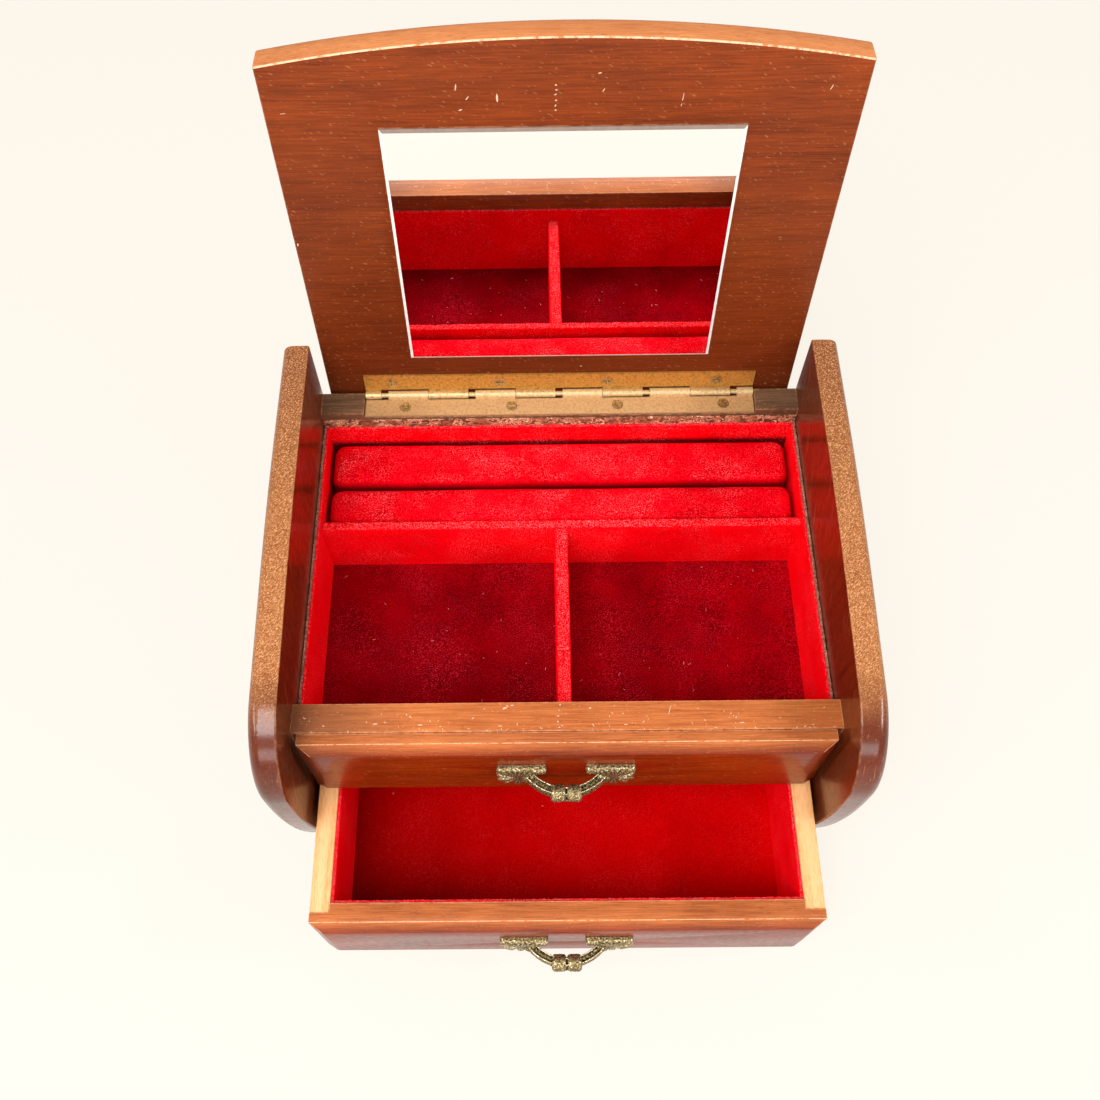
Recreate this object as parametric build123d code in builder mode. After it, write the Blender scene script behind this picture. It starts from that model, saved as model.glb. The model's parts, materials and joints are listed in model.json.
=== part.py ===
from build123d import *
from math import asin, cos, degrees, pi, radians, sin
import os

# A musical jewelry box of lacquered wood: an open velvet tray under a hinged lid with a mirror,
# a fixed false drawer front below it, and one real drawer in front of the musical movement.
# X runs to the right, Y to the back and Z up. The origin is the centre of the underside.

# Carcass
inner_width = 224.0
panel_thickness = 12.0
body_depth = 196.5
rail_height = 118.0
panel_rise = 34.5
base_thickness = 12.0
base_setback = 1.0
back_panel_thickness = 4.0
wall_thickness = 12.0
front_wall_thickness = 12.5
front_wall_setback = 158.0
tray_depth = 47.8
tray_board_thickness = 3.0
partition_thickness = 4.0
block_width = 12.0

# Curved side panels
panel_flat = 38.6
shoulder_radius = 800.0
shoulder_slope = 5.7
nose_radius = 36.0
belly_radius = 330.0
outer_rounding = 5.0
inner_rounding = 0.8

# Drawer fronts, real and false
front_width = 219.0
front_height = 51.0
false_front_drop = 1.1
false_front_thickness = 8.5
front_thickness = 12.0
bevel_depth = 3.9
bevel_width = 5.8
bevel_height = 5.3
field_edge = 0.8
front_gap = 2.4

# Real drawer
drawer_length = 120.0
drawer_wood = 8.5
drawer_rabbet = 4.0
drawer_board = 3.0
drawer_rim_drop = 0.5
running_gap = 0.4
drawer_lining = 1.5
drawer_lining_drop = 1.0
drawer_pulled_out = 60.0
guide_height = 10.0
stop_block_height = 20.0
stop_block_width = 24.0
guide_length = 96.0
drawer_stop_depth = 4.2

# Velvet fittings of the tray
lining_thickness = 2.0
floor_lining = 1.0
velvet_edge = 0.6
lining_drop = 9.1
divider_thickness = 4.7
middle_divider_thickness = 6.0
divider_drop = 15.3
ring_section_depth = 47.6
roll_width = 22.6
roll_height = 29.0
roll_length = 217.0
roll_gap = 0.4
roll_crown = 0.8
roll_shoulder = 5.0
roll_top_radius = 40.0
# Each station of a roll: its place as a share of the length, its share of the width, its crown's drop
roll_stations = (
    (-0.5, 0.86, 2.6),
    (-0.485, 0.97, 0.9),
    (-0.25, 1.0, 0.2),
    (0.25, 1.0, 0.2),
    (0.485, 0.97, 0.9),
    (0.5, 0.86, 2.6),
)

# Lid and mirror
lid_width = 217.8
lid_length = 165.3
lid_bow = 9.6
lid_thickness = 13.2
lid_open_angle = 94.8
lid_rest_gap = 0.3
lid_overhang = 0.95
lid_rounding = 3.0
lid_edge_break = 0.6
mirror_width = 135.8
mirror_height = 116.8
mirror_from_rear = 24.1
mirror_thickness = 3.0
mirror_proud = 1.2
mirror_bevel = 2.0
mirror_bevel_drop = 0.72

# Strip hinge with its pin showing between the knuckles
pin_setback = 0.13
pin_drop = 1.8
pin_radius = 1.15
knuckle_radius = 2.15
knuckle_length = 18.8
end_knuckle = 7.3
pin_window = 3.5
knuckle_pairs = 4
knuckle_play = 0.2
knuckle_air = 0.4
pin_play = 0.05
leaf_width = 11.6
leaf_thickness = 0.9
leaf_drop = 0.3
mortise_play = 0.3
upper_screws_x = (-78.6, -28.0, 22.7, 73.9)
lower_screws_x = (-72.8, -22.4, 27.6, 77.5)
leaf_screw_line = 6.65
hinge_head_radius = 2.7
hinge_head_depth = 1.4
hinge_shank_radius = 1.2
hinge_screw_length = 7.0

# Other screws, and the clearance of every drilled hole
fit_gap = 0.05
slot_width = 0.7
slot_depth = 0.6
dome_height = 1.6
dome_taper = 0.6
panel_screw_radius = 1.3
panel_screw_head = 2.8
panel_screw_length = 9.0
movement_screw_radius = 1.2
movement_screw_head = 2.4
movement_screw_inset = 4.0
comb_screw_radius = 1.0
comb_screw_head = 1.9
comb_screw_head_height = 1.2
comb_screw_spread = 12.0
comb_screw_inset = 3.5

# Cast pulls
pull_spread = 38.0
pull_plate_radius = 6.2
pull_lobe_radius = 4.0
pull_plate_thickness = 2.2
pull_reach = 11.5
pull_grip_radius = 1.8
bead_radius = 3.3
pull_screw_radius = 1.5
pull_head_radius = 3.0
pull_head_depth = 2.0

# Musical movement
bed_width = 56.0
bed_height = 48.0
bed_thickness = 2.4
movement_centre = 39.0
arbor_x = -14.0
arbor_z = 2.0
arbor_radius = 2.0
arbor_hole = 3.5
arbor_stub = 0.4
barrel_radius = 10.5
barrel_wall = 1.0
barrel_length = 8.0
barrel_standoff = 1.0
crown_teeth = 48
pinion_teeth = 12
crown_mesh_radius = 9.5
crown_tooth_height = 1.4
crown_tooth_length = 1.6
crown_tooth_thickness = 0.5
pinion_width = 2.4
pinion_gap = 1.8
cylinder_radius = 6.5
cylinder_length = 20.0
pin_rows = 18
pins_per_row = 3
pin_reach = 0.8
pin_root = 0.3
pin_thickness = 0.4
pin_row_turn = 137.5
first_pin_turn = 20
comb_air = 0.35
tooth_module = 0.4
# A tooth's corners: the share of the pitch from its middle, and the height in modules
tooth_corners = ((-0.27, -1.0), (-0.12, 0.65), (0.12, 0.65), (0.27, -1.0))
big_teeth = 40
small_teeth = 10
governor_teeth = 30
wheel_width = 1.2
wheel_gap = 0.6
wheel_to_ear = 2.4
axle_radius = 0.8
hub_radius = 1.2
spacer_radius = 1.6
comb_teeth = 18
comb_tooth_share = 0.72
comb_seat_setback = 1.0
comb_tooth_length = 10.5
comb_base = 7.5
comb_thickness = 1.0
ear_thickness = 1.6
ear_margin = 2.2
ear_half_width = 3.0
inner_ear_inset = 4.0
inner_ear_reach = 1.9
fan_radius = 5.0
fan_length = 8.0
fan_air = 1.0
blade_thickness = 0.6
blade_turn = 20
key_wing = 11.0
key_thickness = 2.0
key_standoff = 6.0
key_gap = 2.0
key_socket_wall = 1.4
stop_rod_radius = 1.0
stop_collar_thickness = 1.2
stop_travel = 3.0
spring_turns = 5
spring_thickness = 0.35
spring_air = 0.2

# Places that follow from the sizes above
half_width = inner_width / 2
back = body_depth / 2
panel_top = rail_height + panel_rise
front_face = back - front_wall_setback - front_wall_thickness
raised_face = front_face - false_front_thickness
tray_floor = rail_height - tray_depth
tray_board_top = tray_floor - floor_lining
bay_ceiling = tray_board_top - tray_board_thickness
tray_back = back - wall_thickness
tray_front = back - front_wall_setback
lining_top = rail_height - lining_drop
divider_top = rail_height - divider_drop
divider_back = tray_back - lining_thickness - ring_section_depth
divider_front = divider_back - divider_thickness
false_top = rail_height - false_front_drop
drawer_front_top = false_top - front_height - front_gap
drawer_front_bottom = drawer_front_top - front_height
drawer_face = raised_face - drawer_pulled_out
drawer_inner_face = drawer_face + front_thickness
drawer_rear = drawer_face + drawer_length
drawer_under = base_thickness + running_gap
drawer_floor = drawer_under + drawer_board
drawer_rim = drawer_front_top - drawer_rim_drop
drawer_side_inner = front_width / 2 - drawer_wood
partition_front = raised_face + drawer_length + drawer_stop_depth
partition_rear = partition_front + partition_thickness
back_panel_inner = back - back_panel_thickness
# Points closer than this count as lying on the same face
touch = 1e-4


# Places in the musical movement. Its own axes: x to the right, y up, z towards the front.
movement = Plane(origin=(0, back_panel_inner, movement_centre), x_dir=(1, 0, 0), z_dir=(0, -1, 0))
barrel_base = bed_thickness + barrel_standoff
barrel_top = barrel_base + barrel_length
pinion_module = 2 * crown_mesh_radius / crown_teeth
pinion_radius = pinion_module * pinion_teeth / 2
axis_height = barrel_top + crown_tooth_height + pinion_radius - 0.7 * pinion_module
pinion_x = arbor_x + crown_mesh_radius
cylinder_start = pinion_x + pinion_width / 2 + pinion_gap
cylinder_end = cylinder_start + cylinder_length
wheel_x = cylinder_end + wheel_gap
ear_left_x = -bed_width / 2
ear_right_x = wheel_x + 2 * wheel_width + wheel_to_ear
comb_tip = arbor_z - cylinder_radius - pin_reach - comb_air
comb_root = comb_tip - comb_tooth_length
comb_end = comb_root - comb_base
governor_y = arbor_z + tooth_module * (big_teeth + small_teeth) / 2
governor_step = tooth_module * (governor_teeth + small_teeth) / 2
fan_y = governor_y + governor_step * sin(pi / 4)
fan_height = axis_height - governor_step * cos(pi / 4)
governor_wheel_x = wheel_x + wheel_width + wheel_gap
axle_start = cylinder_start + inner_ear_inset
ear_inner_x = axle_start - ear_thickness
blade_start = axle_start + fan_air
stop_rod_x = blade_start + fan_length / 2
stop_rod_z = movement_centre + fan_y

# Side panels: a level top edge falls gently to a round nose, and the front edge recedes to the foot.
slope = radians(shoulder_slope)
nose_run = nose_radius * (1 - sin(slope))
slope_length = (body_depth - panel_flat - shoulder_radius * sin(slope) - nose_run) / cos(slope)
belly_height = (
    panel_top - shoulder_radius * (1 - cos(slope)) - slope_length * sin(slope) - nose_radius * cos(slope)
)
belly_angle = degrees(asin(belly_height / belly_radius))


def save(piece, label):
    """Labels a finished piece and writes its STEP file."""
    piece.part.label = label
    export_step(piece.part, f"parts/{label}.step")


def board(x, y, z, plane=Plane.XY, mode=Mode.ADD):
    """Adds or cuts a rectangular board between pairs of x, y and z on a plane's own axes."""
    with BuildSketch(plane.offset(z[0])) as face:
        with Locations(((x[0] + x[1]) / 2, (y[0] + y[1]) / 2)):
            Rectangle(x[1] - x[0], y[1] - y[0])
    extrude(face.sketch, amount=z[1] - z[0], mode=mode)


def raised_front(rear_y, top_z, thickness):
    """Adds a drawer front whose four front edges fall back in a wide bevel to a raised field."""
    middle_z = top_z - front_height / 2
    shoulder = thickness - bevel_depth
    rear_plane = Plane(origin=(0, rear_y, middle_z), x_dir=(1, 0, 0), z_dir=(0, -1, 0))
    with BuildSketch(rear_plane) as outline:
        Rectangle(front_width, front_height)
    extrude(outline.sketch, amount=shoulder)
    with BuildSketch(rear_plane.offset(shoulder)) as bevel_start:
        Rectangle(front_width, front_height)
    with BuildSketch(rear_plane.offset(thickness)) as field:
        Rectangle(front_width - 2 * bevel_width, front_height - 2 * bevel_height)
    loft([bevel_start.sketch, field.sketch])
    rim = rear_plane.offset(thickness)
    field_edges = [e for e in edges() if abs(rim.to_local_coords(e.center()).Z) < touch]
    chamfer(field_edges, field_edge)


def pull(face_y, middle_z):
    """Adds a cast pull: two leafed plates and an arched grip with a pair of beads."""
    wall = Plane(origin=(0, face_y, middle_z), x_dir=(1, 0, 0), z_dir=(0, -1, 0))
    with BuildSketch(wall) as plates:
        with Locations((-pull_spread / 2, 0), (pull_spread / 2, 0)):
            Circle(pull_plate_radius)
            with PolarLocations(pull_plate_radius, 4):
                Circle(pull_lobe_radius)
    extrude(plates.sketch, amount=pull_plate_thickness)
    top = Plane(origin=(0, face_y, middle_z))
    with BuildLine(top) as grip_line:
        ThreePointArc(
            (-pull_spread / 2, -pull_plate_thickness / 2),
            (0, -pull_reach),
            (pull_spread / 2, -pull_plate_thickness / 2),
        )
    grip_start = Plane(grip_line.line @ 0, z_dir=grip_line.line % 0)
    with BuildSketch(grip_start) as section:
        Circle(pull_grip_radius)
    sweep(section.sketch, path=grip_line.line)
    beads = [(side * bead_radius, face_y - pull_reach, middle_z) for side in (-1, 1)]
    with Locations(*beads):
        Sphere(bead_radius)
    # The grip's buried ends are trimmed flush with the back of the plates.
    board(
        (-pull_spread, pull_spread),
        (face_y, face_y + 2 * pull_grip_radius),
        (middle_z - pull_spread, middle_z + pull_spread),
        mode=Mode.SUBTRACT,
    )
    with Locations(wall):
        with Locations((-pull_spread / 2, 0), (pull_spread / 2, 0)):
            Cylinder(
                pull_screw_radius + fit_gap,
                pull_plate_thickness / 2,
                align=(Align.CENTER, Align.CENTER, Align.MIN),
                mode=Mode.SUBTRACT,
            )


def pull_screws(face_y, middle_z, inner_y):
    """Adds the two screws that hold a pull, with their heads sunk in the wood at inner_y."""
    wall = Plane(origin=(0, inner_y - pull_head_depth, middle_z), x_dir=(1, 0, 0), z_dir=(0, 1, 0))
    length = inner_y - pull_head_depth - face_y + pull_plate_thickness / 2 - fit_gap
    with Locations(wall):
        with Locations((-pull_spread / 2, 0), (pull_spread / 2, 0)):
            Cylinder(pull_head_radius, pull_head_depth, align=(Align.CENTER, Align.CENTER, Align.MIN))
            Cylinder(pull_screw_radius, length, align=(Align.CENTER, Align.CENTER, Align.MAX))
            with Locations((0, 0, pull_head_depth)):
                Box(pull_head_radius * 2, slot_width, 2 * slot_depth, mode=Mode.SUBTRACT)


def pull_screw_holes(face_y, middle_z, inner_y):
    """Cuts the two stepped holes of a pull's screws through the wood."""
    wall = Plane(origin=(0, inner_y, middle_z), x_dir=(1, 0, 0), z_dir=(0, 1, 0))
    with Locations(wall):
        with Locations((-pull_spread / 2, 0), (pull_spread / 2, 0)):
            CounterBoreHole(
                pull_screw_radius + fit_gap,
                pull_head_radius + fit_gap,
                pull_head_depth,
                depth=inner_y - face_y + 1,
            )


def wood_screws(plane, spots, mode=Mode.ADD, gap=0.0):
    """Adds flat-headed cross-slotted screws with their heads at a plane, or cuts their holes."""
    with Locations(plane):
        with Locations(*spots):
            Cone(
                hinge_shank_radius + gap,
                hinge_head_radius + gap,
                hinge_head_depth,
                align=(Align.CENTER, Align.CENTER, Align.MAX),
                mode=mode,
            )
            Cylinder(
                hinge_shank_radius + gap,
                hinge_screw_length + gap,
                align=(Align.CENTER, Align.CENTER, Align.MAX),
                mode=mode,
            )
            if mode == Mode.ADD:
                Box(hinge_head_radius * 1.3, slot_width, 2 * slot_depth, mode=Mode.SUBTRACT)
                Box(slot_width, hinge_head_radius * 1.3, 2 * slot_depth, mode=Mode.SUBTRACT)


def through_back(x, z):
    """A spot on the back panel's outer face, in that face's own axes."""
    return (-x, z)


def domed_screws(spots, radius, head_radius, length):
    """Adds round-headed slotted screws that enter the back panel at spots."""
    with Locations(rear_plane):
        with Locations(*spots):
            Cylinder(radius, length, align=(Align.CENTER, Align.CENTER, Align.MAX))
            Cone(
                head_radius,
                head_radius * dome_taper,
                dome_height,
                align=(Align.CENTER, Align.CENTER, Align.MIN),
            )
            with Locations((0, 0, dome_height)):
                Box(head_radius * 2, slot_width, 2 * slot_depth, mode=Mode.SUBTRACT)


def side_panel(inner_x, direction):
    """Adds a side panel whose inner face is at inner_x and which grows outwards."""
    with BuildSketch(Plane.YZ.offset(inner_x)) as profile:
        with BuildLine():
            rear_edge = Line((back, 0), (back, panel_top))
            flat = Line(rear_edge @ 1, (back - panel_flat, panel_top))
            shoulder = JernArc(flat @ 1, (-1, 0), shoulder_radius, shoulder_slope)
            incline = Line(shoulder @ 1, (shoulder @ 1) + (shoulder % 1) * slope_length)
            nose = JernArc(incline @ 1, incline % 1, nose_radius, 90 - shoulder_slope)
            belly = JernArc(nose @ 1, (0, -1), belly_radius, belly_angle)
            Line(belly @ 1, rear_edge @ 0)
        make_face()
    extrude(profile.sketch, amount=direction * panel_thickness)
    curved = [
        e for e in edges() if e.center().Z > inner_rounding and e.center().Y < back - inner_rounding
    ]
    outer_x = inner_x + direction * panel_thickness
    fillet([e for e in curved if abs(e.center().X - outer_x) < touch], outer_rounding)
    curved = [
        e for e in edges() if e.center().Z > inner_rounding and e.center().Y < back - inner_rounding
    ]
    fillet([e for e in curved if abs(e.center().X - inner_x) < touch], inner_rounding)


def velvet_board(x, y, z):
    """Adds a velvet-covered card whose long upper edges are softened."""
    board(x, y, z)
    rim = [e for e in edges() if abs(e.center().Z - z[1]) < touch]
    fillet(rim, velvet_edge)


def ring_roll(centre_y):
    """Adds a foam roll: flat sides, round shoulders, a slightly crowned top, and drawn-in ends."""
    seat = tray_floor + roll_gap
    radius = roll_width / 2
    sections = []
    for share, width_share, drop in roll_stations:
        width = radius * width_share
        crown = seat + roll_height + roll_crown - drop
        lean = asin((width - roll_shoulder) / (roll_top_radius - roll_shoulder))
        inset = width - roll_shoulder
        shoulder = crown - roll_top_radius + (roll_top_radius - roll_shoulder) * cos(lean)
        halfway = (pi / 2 - lean) / 2
        bend = (inset + roll_shoulder * cos(halfway), shoulder + roll_shoulder * sin(halfway))
        end = (inset + roll_shoulder * sin(lean), shoulder + roll_shoulder * cos(lean))
        with BuildSketch(Plane.YZ.offset(share * roll_length)) as section:
            with BuildLine():
                foot = Line((centre_y - width, seat), (centre_y + width, seat))
                rise = Line(foot @ 1, (centre_y + width, shoulder))
                rear_arc = ThreePointArc(rise @ 1, (centre_y + bend[0], bend[1]), (centre_y + end[0], end[1]))
                top_arc = ThreePointArc(rear_arc @ 1, (centre_y, crown), (centre_y - end[0], end[1]))
                front_arc = ThreePointArc(
                    top_arc @ 1, (centre_y - bend[0], bend[1]), (centre_y - width, shoulder)
                )
                Line(front_arc @ 1, foot @ 0)
            make_face()
        sections.append(section.sketch)
    for first, second in zip(sections, sections[1:]):
        loft([first, second], ruled=True)


def hinge_leaf(plane, knuckles, faces):
    """Adds a leaf with its knuckles. The pin is the plane's x axis, and the leaf lies towards its -y."""
    board((hinge_start, -hinge_start), (-leaf_width, -knuckle_clear), faces, plane)
    for start, length in knuckles:
        span = (start, start + length)
        board(span, (-knuckle_clear, 0), faces, plane)
        ends = Plane(
            origin=plane.from_local_coords(Vector(start, 0, 0)), x_dir=plane.y_dir, z_dir=plane.x_dir
        )
        with BuildSketch(ends) as ring:
            Circle(knuckle_radius)
        extrude(ring.sketch, amount=length)
    bore = Plane(
        origin=plane.from_local_coords(Vector(hinge_start - 1, 0, 0)), x_dir=plane.y_dir, z_dir=plane.x_dir
    )
    with BuildSketch(bore) as hole:
        Circle(pin_radius + pin_play)
    extrude(hole.sketch, amount=2 - 2 * hinge_start, mode=Mode.SUBTRACT)


def gear_points(teeth, module, phase):
    """Corner points of a spur gear with straight-sided teeth, one tooth centred at the phase angle."""
    pitch = 2 * pi / teeth
    radius = module * teeth / 2
    corners = []
    for tooth in range(teeth):
        middle = radians(phase) + tooth * pitch
        for turn, reach in tooth_corners:
            r = radius + reach * module
            corners.append((r * cos(middle + turn * pitch), r * sin(middle + turn * pitch)))
    return corners


def gear(plane, teeth, phase, width, module=tooth_module):
    """Adds a spur gear on a plane, grown along its normal."""
    with BuildSketch(plane) as outline:
        Polygon(*gear_points(teeth, module, phase), align=None)
    extrude(outline.sketch, amount=width)


def across(x, y, height):
    """A plane facing +x at a point of the movement; its own x axis points up and its y axis to the back."""
    origin = movement.from_local_coords(Vector(x, y, height))
    return Plane(origin=origin, x_dir=(0, 0, 1), z_dir=(1, 0, 0))


def rod(x0, x1, y, height, radius, mode=Mode.ADD):
    """Adds or cuts a round rod along x in the movement."""
    with BuildSketch(across(x0, y, height)) as end:
        Circle(radius)
    extrude(end.sketch, amount=x1 - x0, mode=mode)


def bearing_bores():
    """Cuts the bores of every axle through the bedplate's ears."""
    reach = (ear_left_x - 1, ear_right_x + ear_thickness + 1)
    for y, height in ((arbor_z, axis_height), (governor_y, axis_height), (fan_y, fan_height)):
        rod(*reach, y, height, axle_radius + fit_gap, Mode.SUBTRACT)


os.makedirs("parts", exist_ok=True)

with BuildPart() as left_panel:
    side_panel(-half_width, -1)
save(left_panel, "side_panel_left")

with BuildPart() as right_panel:
    side_panel(half_width, 1)
save(right_panel, "side_panel_right")

# Boards between the side panels
between = (-half_width, half_width)
foot_front = back - body_depth + belly_radius * (1 - cos(radians(belly_angle)))
with BuildPart() as base:
    board(between, (foot_front + base_setback, back_panel_inner), (0, base_thickness))
save(base, "base_board")

hinge_span = (
    2 * end_knuckle
    + (knuckle_pairs + 1) * pin_window
    + knuckle_pairs * (2 * knuckle_length + knuckle_play)
)
hinge_start = -hinge_span / 2
pin_y = back + pin_setback
pin_z = rail_height - pin_drop
mortise_end = hinge_span / 2 + mortise_play
lower_leaf_top = pin_z - leaf_drop
lower_leaf_bottom = lower_leaf_top - leaf_thickness
knuckle_clear = knuckle_radius + knuckle_air
lower_screw_plane = Plane(origin=(0, pin_y - leaf_screw_line, lower_leaf_top))
lower_screw_spots = [(x, 0) for x in lower_screws_x]

with BuildPart() as rear_rail:
    board(between, (tray_back, back), (bay_ceiling, rail_height))
    # Mortise for the lower leaf, and a groove along the back edge for the knuckles
    board(
        (-mortise_end, mortise_end),
        (tray_back, back),
        (lower_leaf_bottom, rail_height),
        mode=Mode.SUBTRACT,
    )
    board(
        (-mortise_end, mortise_end),
        (pin_y - knuckle_clear, back),
        (pin_z - knuckle_clear, rail_height),
        mode=Mode.SUBTRACT,
    )
    wood_screws(lower_screw_plane, lower_screw_spots, Mode.SUBTRACT, fit_gap)
save(rear_rail, "rear_rail")

pull_z = false_top - front_height / 2
with BuildPart() as front_wall:
    board(between, (front_face, tray_front), (bay_ceiling, rail_height))
    pull_screw_holes(raised_face, pull_z, tray_front)
save(front_wall, "front_wall")

with BuildPart() as tray_board:
    board(between, (tray_front, tray_back), (bay_ceiling, tray_board_top))
save(tray_board, "tray_floor_board")

key_x = arbor_x
key_z = movement_centre + arbor_z
movement_screw_spots = [
    (side * (bed_width / 2 - movement_screw_inset), level * (bed_height / 2 - movement_screw_inset))
    for side in (-1, 1)
    for level in (-1, 1)
]
bay_height = bay_ceiling - base_thickness
panel_screw_spots = [
    (side * (half_width - block_width / 2), bay_ceiling / 2 + level * bay_height / 3)
    for side in (-1, 1)
    for level in (-1, 1)
]
rear_plane = Plane(origin=(0, back, 0), x_dir=(-1, 0, 0), z_dir=(0, 1, 0))


with BuildPart() as back_panel:
    board(between, (back_panel_inner, back), (0, bay_ceiling))
    with Locations(rear_plane):
        with Locations(through_back(key_x, key_z)):
            Hole(arbor_hole, depth=back_panel_thickness)
        with Locations(*[through_back(x, z + movement_centre) for x, z in movement_screw_spots]):
            Hole(movement_screw_radius + fit_gap, depth=back_panel_thickness)
        with Locations(*[through_back(x, z) for x, z in panel_screw_spots]):
            Hole(panel_screw_radius + fit_gap, depth=back_panel_thickness)
save(back_panel, "back_panel")


with BuildPart() as panel_screws:
    domed_screws(
        [through_back(x, z) for x, z in panel_screw_spots],
        panel_screw_radius,
        panel_screw_head,
        panel_screw_length,
    )
save(panel_screws, "back_panel_screws")

for name, side in (("left", -1), ("right", 1)):
    with BuildPart() as block:
        inner = side * (half_width - block_width)
        board(
            (min(inner, side * half_width), max(inner, side * half_width)),
            (back_panel_inner - block_width, back_panel_inner),
            (base_thickness, bay_ceiling),
        )
        with Locations(rear_plane):
            with Locations(*[through_back(x, z) for x, z in panel_screw_spots if x * side > 0]):
                Hole(panel_screw_radius + fit_gap, depth=panel_screw_length + fit_gap)
    save(block, f"corner_block_{name}")

    with BuildPart() as guide:
        inner = side * (front_width / 2 + running_gap)
        guide_rear = partition_front - drawer_stop_depth
        board(
            (min(inner, side * half_width), max(inner, side * half_width)),
            (guide_rear - guide_length, guide_rear),
            (base_thickness, base_thickness + guide_height),
        )
    save(guide, f"drawer_guide_{name}")

with BuildPart() as partition:
    board(between, (partition_front, partition_rear), (base_thickness, bay_ceiling))
    rod_spot = Plane(origin=(stop_rod_x, partition_front, stop_rod_z), x_dir=(1, 0, 0), z_dir=(0, -1, 0))
    with Locations(rod_spot):
        Hole(stop_rod_radius + fit_gap, depth=partition_thickness)
save(partition, "bay_partition")

for name, side in (("left", -1), ("right", 1)):
    with BuildPart() as stop_block:
        inner = side * (half_width - stop_block_width)
        board(
            (min(inner, side * half_width), max(inner, side * half_width)),
            (partition_front - drawer_stop_depth + running_gap, partition_front),
            (base_thickness, base_thickness + stop_block_height),
        )
    save(stop_block, f"drawer_stop_{name}")

# Fixed false drawer front
with BuildPart() as false_front:
    raised_front(front_face, false_top, false_front_thickness)
    with Locations(Plane(origin=(0, front_face, pull_z), x_dir=(1, 0, 0), z_dir=(0, 1, 0))):
        with Locations((-pull_spread / 2, 0), (pull_spread / 2, 0)):
            Hole(pull_screw_radius + fit_gap, depth=false_front_thickness)
save(false_front, "false_drawer_front")

with BuildPart() as upper_pull:
    pull(raised_face, pull_z)
save(upper_pull, "upper_pull")

with BuildPart() as upper_pull_screws:
    pull_screws(raised_face, pull_z, tray_front)
save(upper_pull_screws, "upper_pull_screws")

# Velvet linings of the tray
lining_x = half_width - lining_thickness
tray_lining_back = tray_back - lining_thickness
tray_lining_front = tray_front + lining_thickness
lining_height = (tray_board_top, lining_top)


with BuildPart() as lining_left:
    velvet_board((-half_width, -lining_x), (tray_front, tray_back), lining_height)
save(lining_left, "tray_lining_left")

with BuildPart() as lining_right:
    velvet_board((lining_x, half_width), (tray_front, tray_back), lining_height)
save(lining_right, "tray_lining_right")

with BuildPart() as lining_back:
    velvet_board((-lining_x, lining_x), (tray_lining_back, tray_back), lining_height)
save(lining_back, "tray_lining_back")

with BuildPart() as lining_front:
    velvet_board((-lining_x, lining_x), (tray_front, tray_lining_front), lining_height)
save(lining_front, "tray_lining_front")

with BuildPart() as lining_floor:
    board((-lining_x, lining_x), (tray_lining_front, tray_lining_back), (tray_board_top, tray_floor))
save(lining_floor, "tray_lining_floor")

with BuildPart() as cross_divider:
    velvet_board((-lining_x, lining_x), (divider_front, divider_back), (tray_floor, divider_top))
save(cross_divider, "cross_divider")

with BuildPart() as middle_divider:
    velvet_board(
        (-middle_divider_thickness / 2, middle_divider_thickness / 2),
        (tray_lining_front, divider_front),
        (tray_floor, divider_top),
    )
save(middle_divider, "middle_divider")


roll_margin = (ring_section_depth - 2 * roll_width) / 3
rear_roll_y = tray_lining_back - roll_margin - roll_width / 2
front_roll_y = rear_roll_y - roll_width - roll_margin
with BuildPart() as rear_roll:
    ring_roll(rear_roll_y)
save(rear_roll, "ring_roll_rear")

with BuildPart() as front_roll:
    ring_roll(front_roll_y)
save(front_roll, "ring_roll_front")

# Hinge: walk along the pin and note where each leaf has its knuckles.
upper_knuckles = [(hinge_start, end_knuckle)]
lower_knuckles = []
cursor = hinge_start + end_knuckle
for _ in range(knuckle_pairs):
    cursor += pin_window
    lower_knuckles.append((cursor, knuckle_length))
    cursor += knuckle_length + knuckle_play
    upper_knuckles.append((cursor, knuckle_length))
    cursor += knuckle_length
lower_knuckles.append((cursor + pin_window, end_knuckle))

pin_axis = Plane(origin=(0, pin_y, pin_z))
lid_frame = Plane(
    origin=(0, pin_y, pin_z),
    x_dir=(1, 0, 0),
    z_dir=(0, sin(radians(lid_open_angle)), cos(radians(lid_open_angle))),
)


upper_leaf_faces = (pin_drop + lid_rest_gap - leaf_thickness, pin_drop + lid_rest_gap)
lower_leaf_faces = (lower_leaf_bottom - pin_z, lower_leaf_top - pin_z)
upper_screw_plane = Plane(
    origin=lid_frame.from_local_coords(Vector(0, -leaf_screw_line, upper_leaf_faces[0])),
    x_dir=(-1, 0, 0),
    z_dir=lid_frame.z_dir * -1,
)
upper_screw_spots = [(-x, 0) for x in upper_screws_x]

with BuildPart() as lower_leaf:
    hinge_leaf(pin_axis, lower_knuckles, lower_leaf_faces)
    wood_screws(lower_screw_plane, lower_screw_spots, Mode.SUBTRACT, fit_gap)
save(lower_leaf, "hinge_leaf_lower")

with BuildPart() as upper_leaf:
    hinge_leaf(lid_frame, upper_knuckles, upper_leaf_faces)
    wood_screws(upper_screw_plane, upper_screw_spots, Mode.SUBTRACT, fit_gap)
save(upper_leaf, "hinge_leaf_upper")

with BuildPart() as hinge_pin:
    with BuildSketch(Plane.YZ.offset(hinge_start)) as pin_end:
        with Locations((pin_y, pin_z)):
            Circle(pin_radius)
    extrude(pin_end.sketch, amount=hinge_span)
save(hinge_pin, "hinge_pin")

with BuildPart() as lower_screws:
    wood_screws(lower_screw_plane, lower_screw_spots)
save(lower_screws, "hinge_screws_lower")

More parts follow.
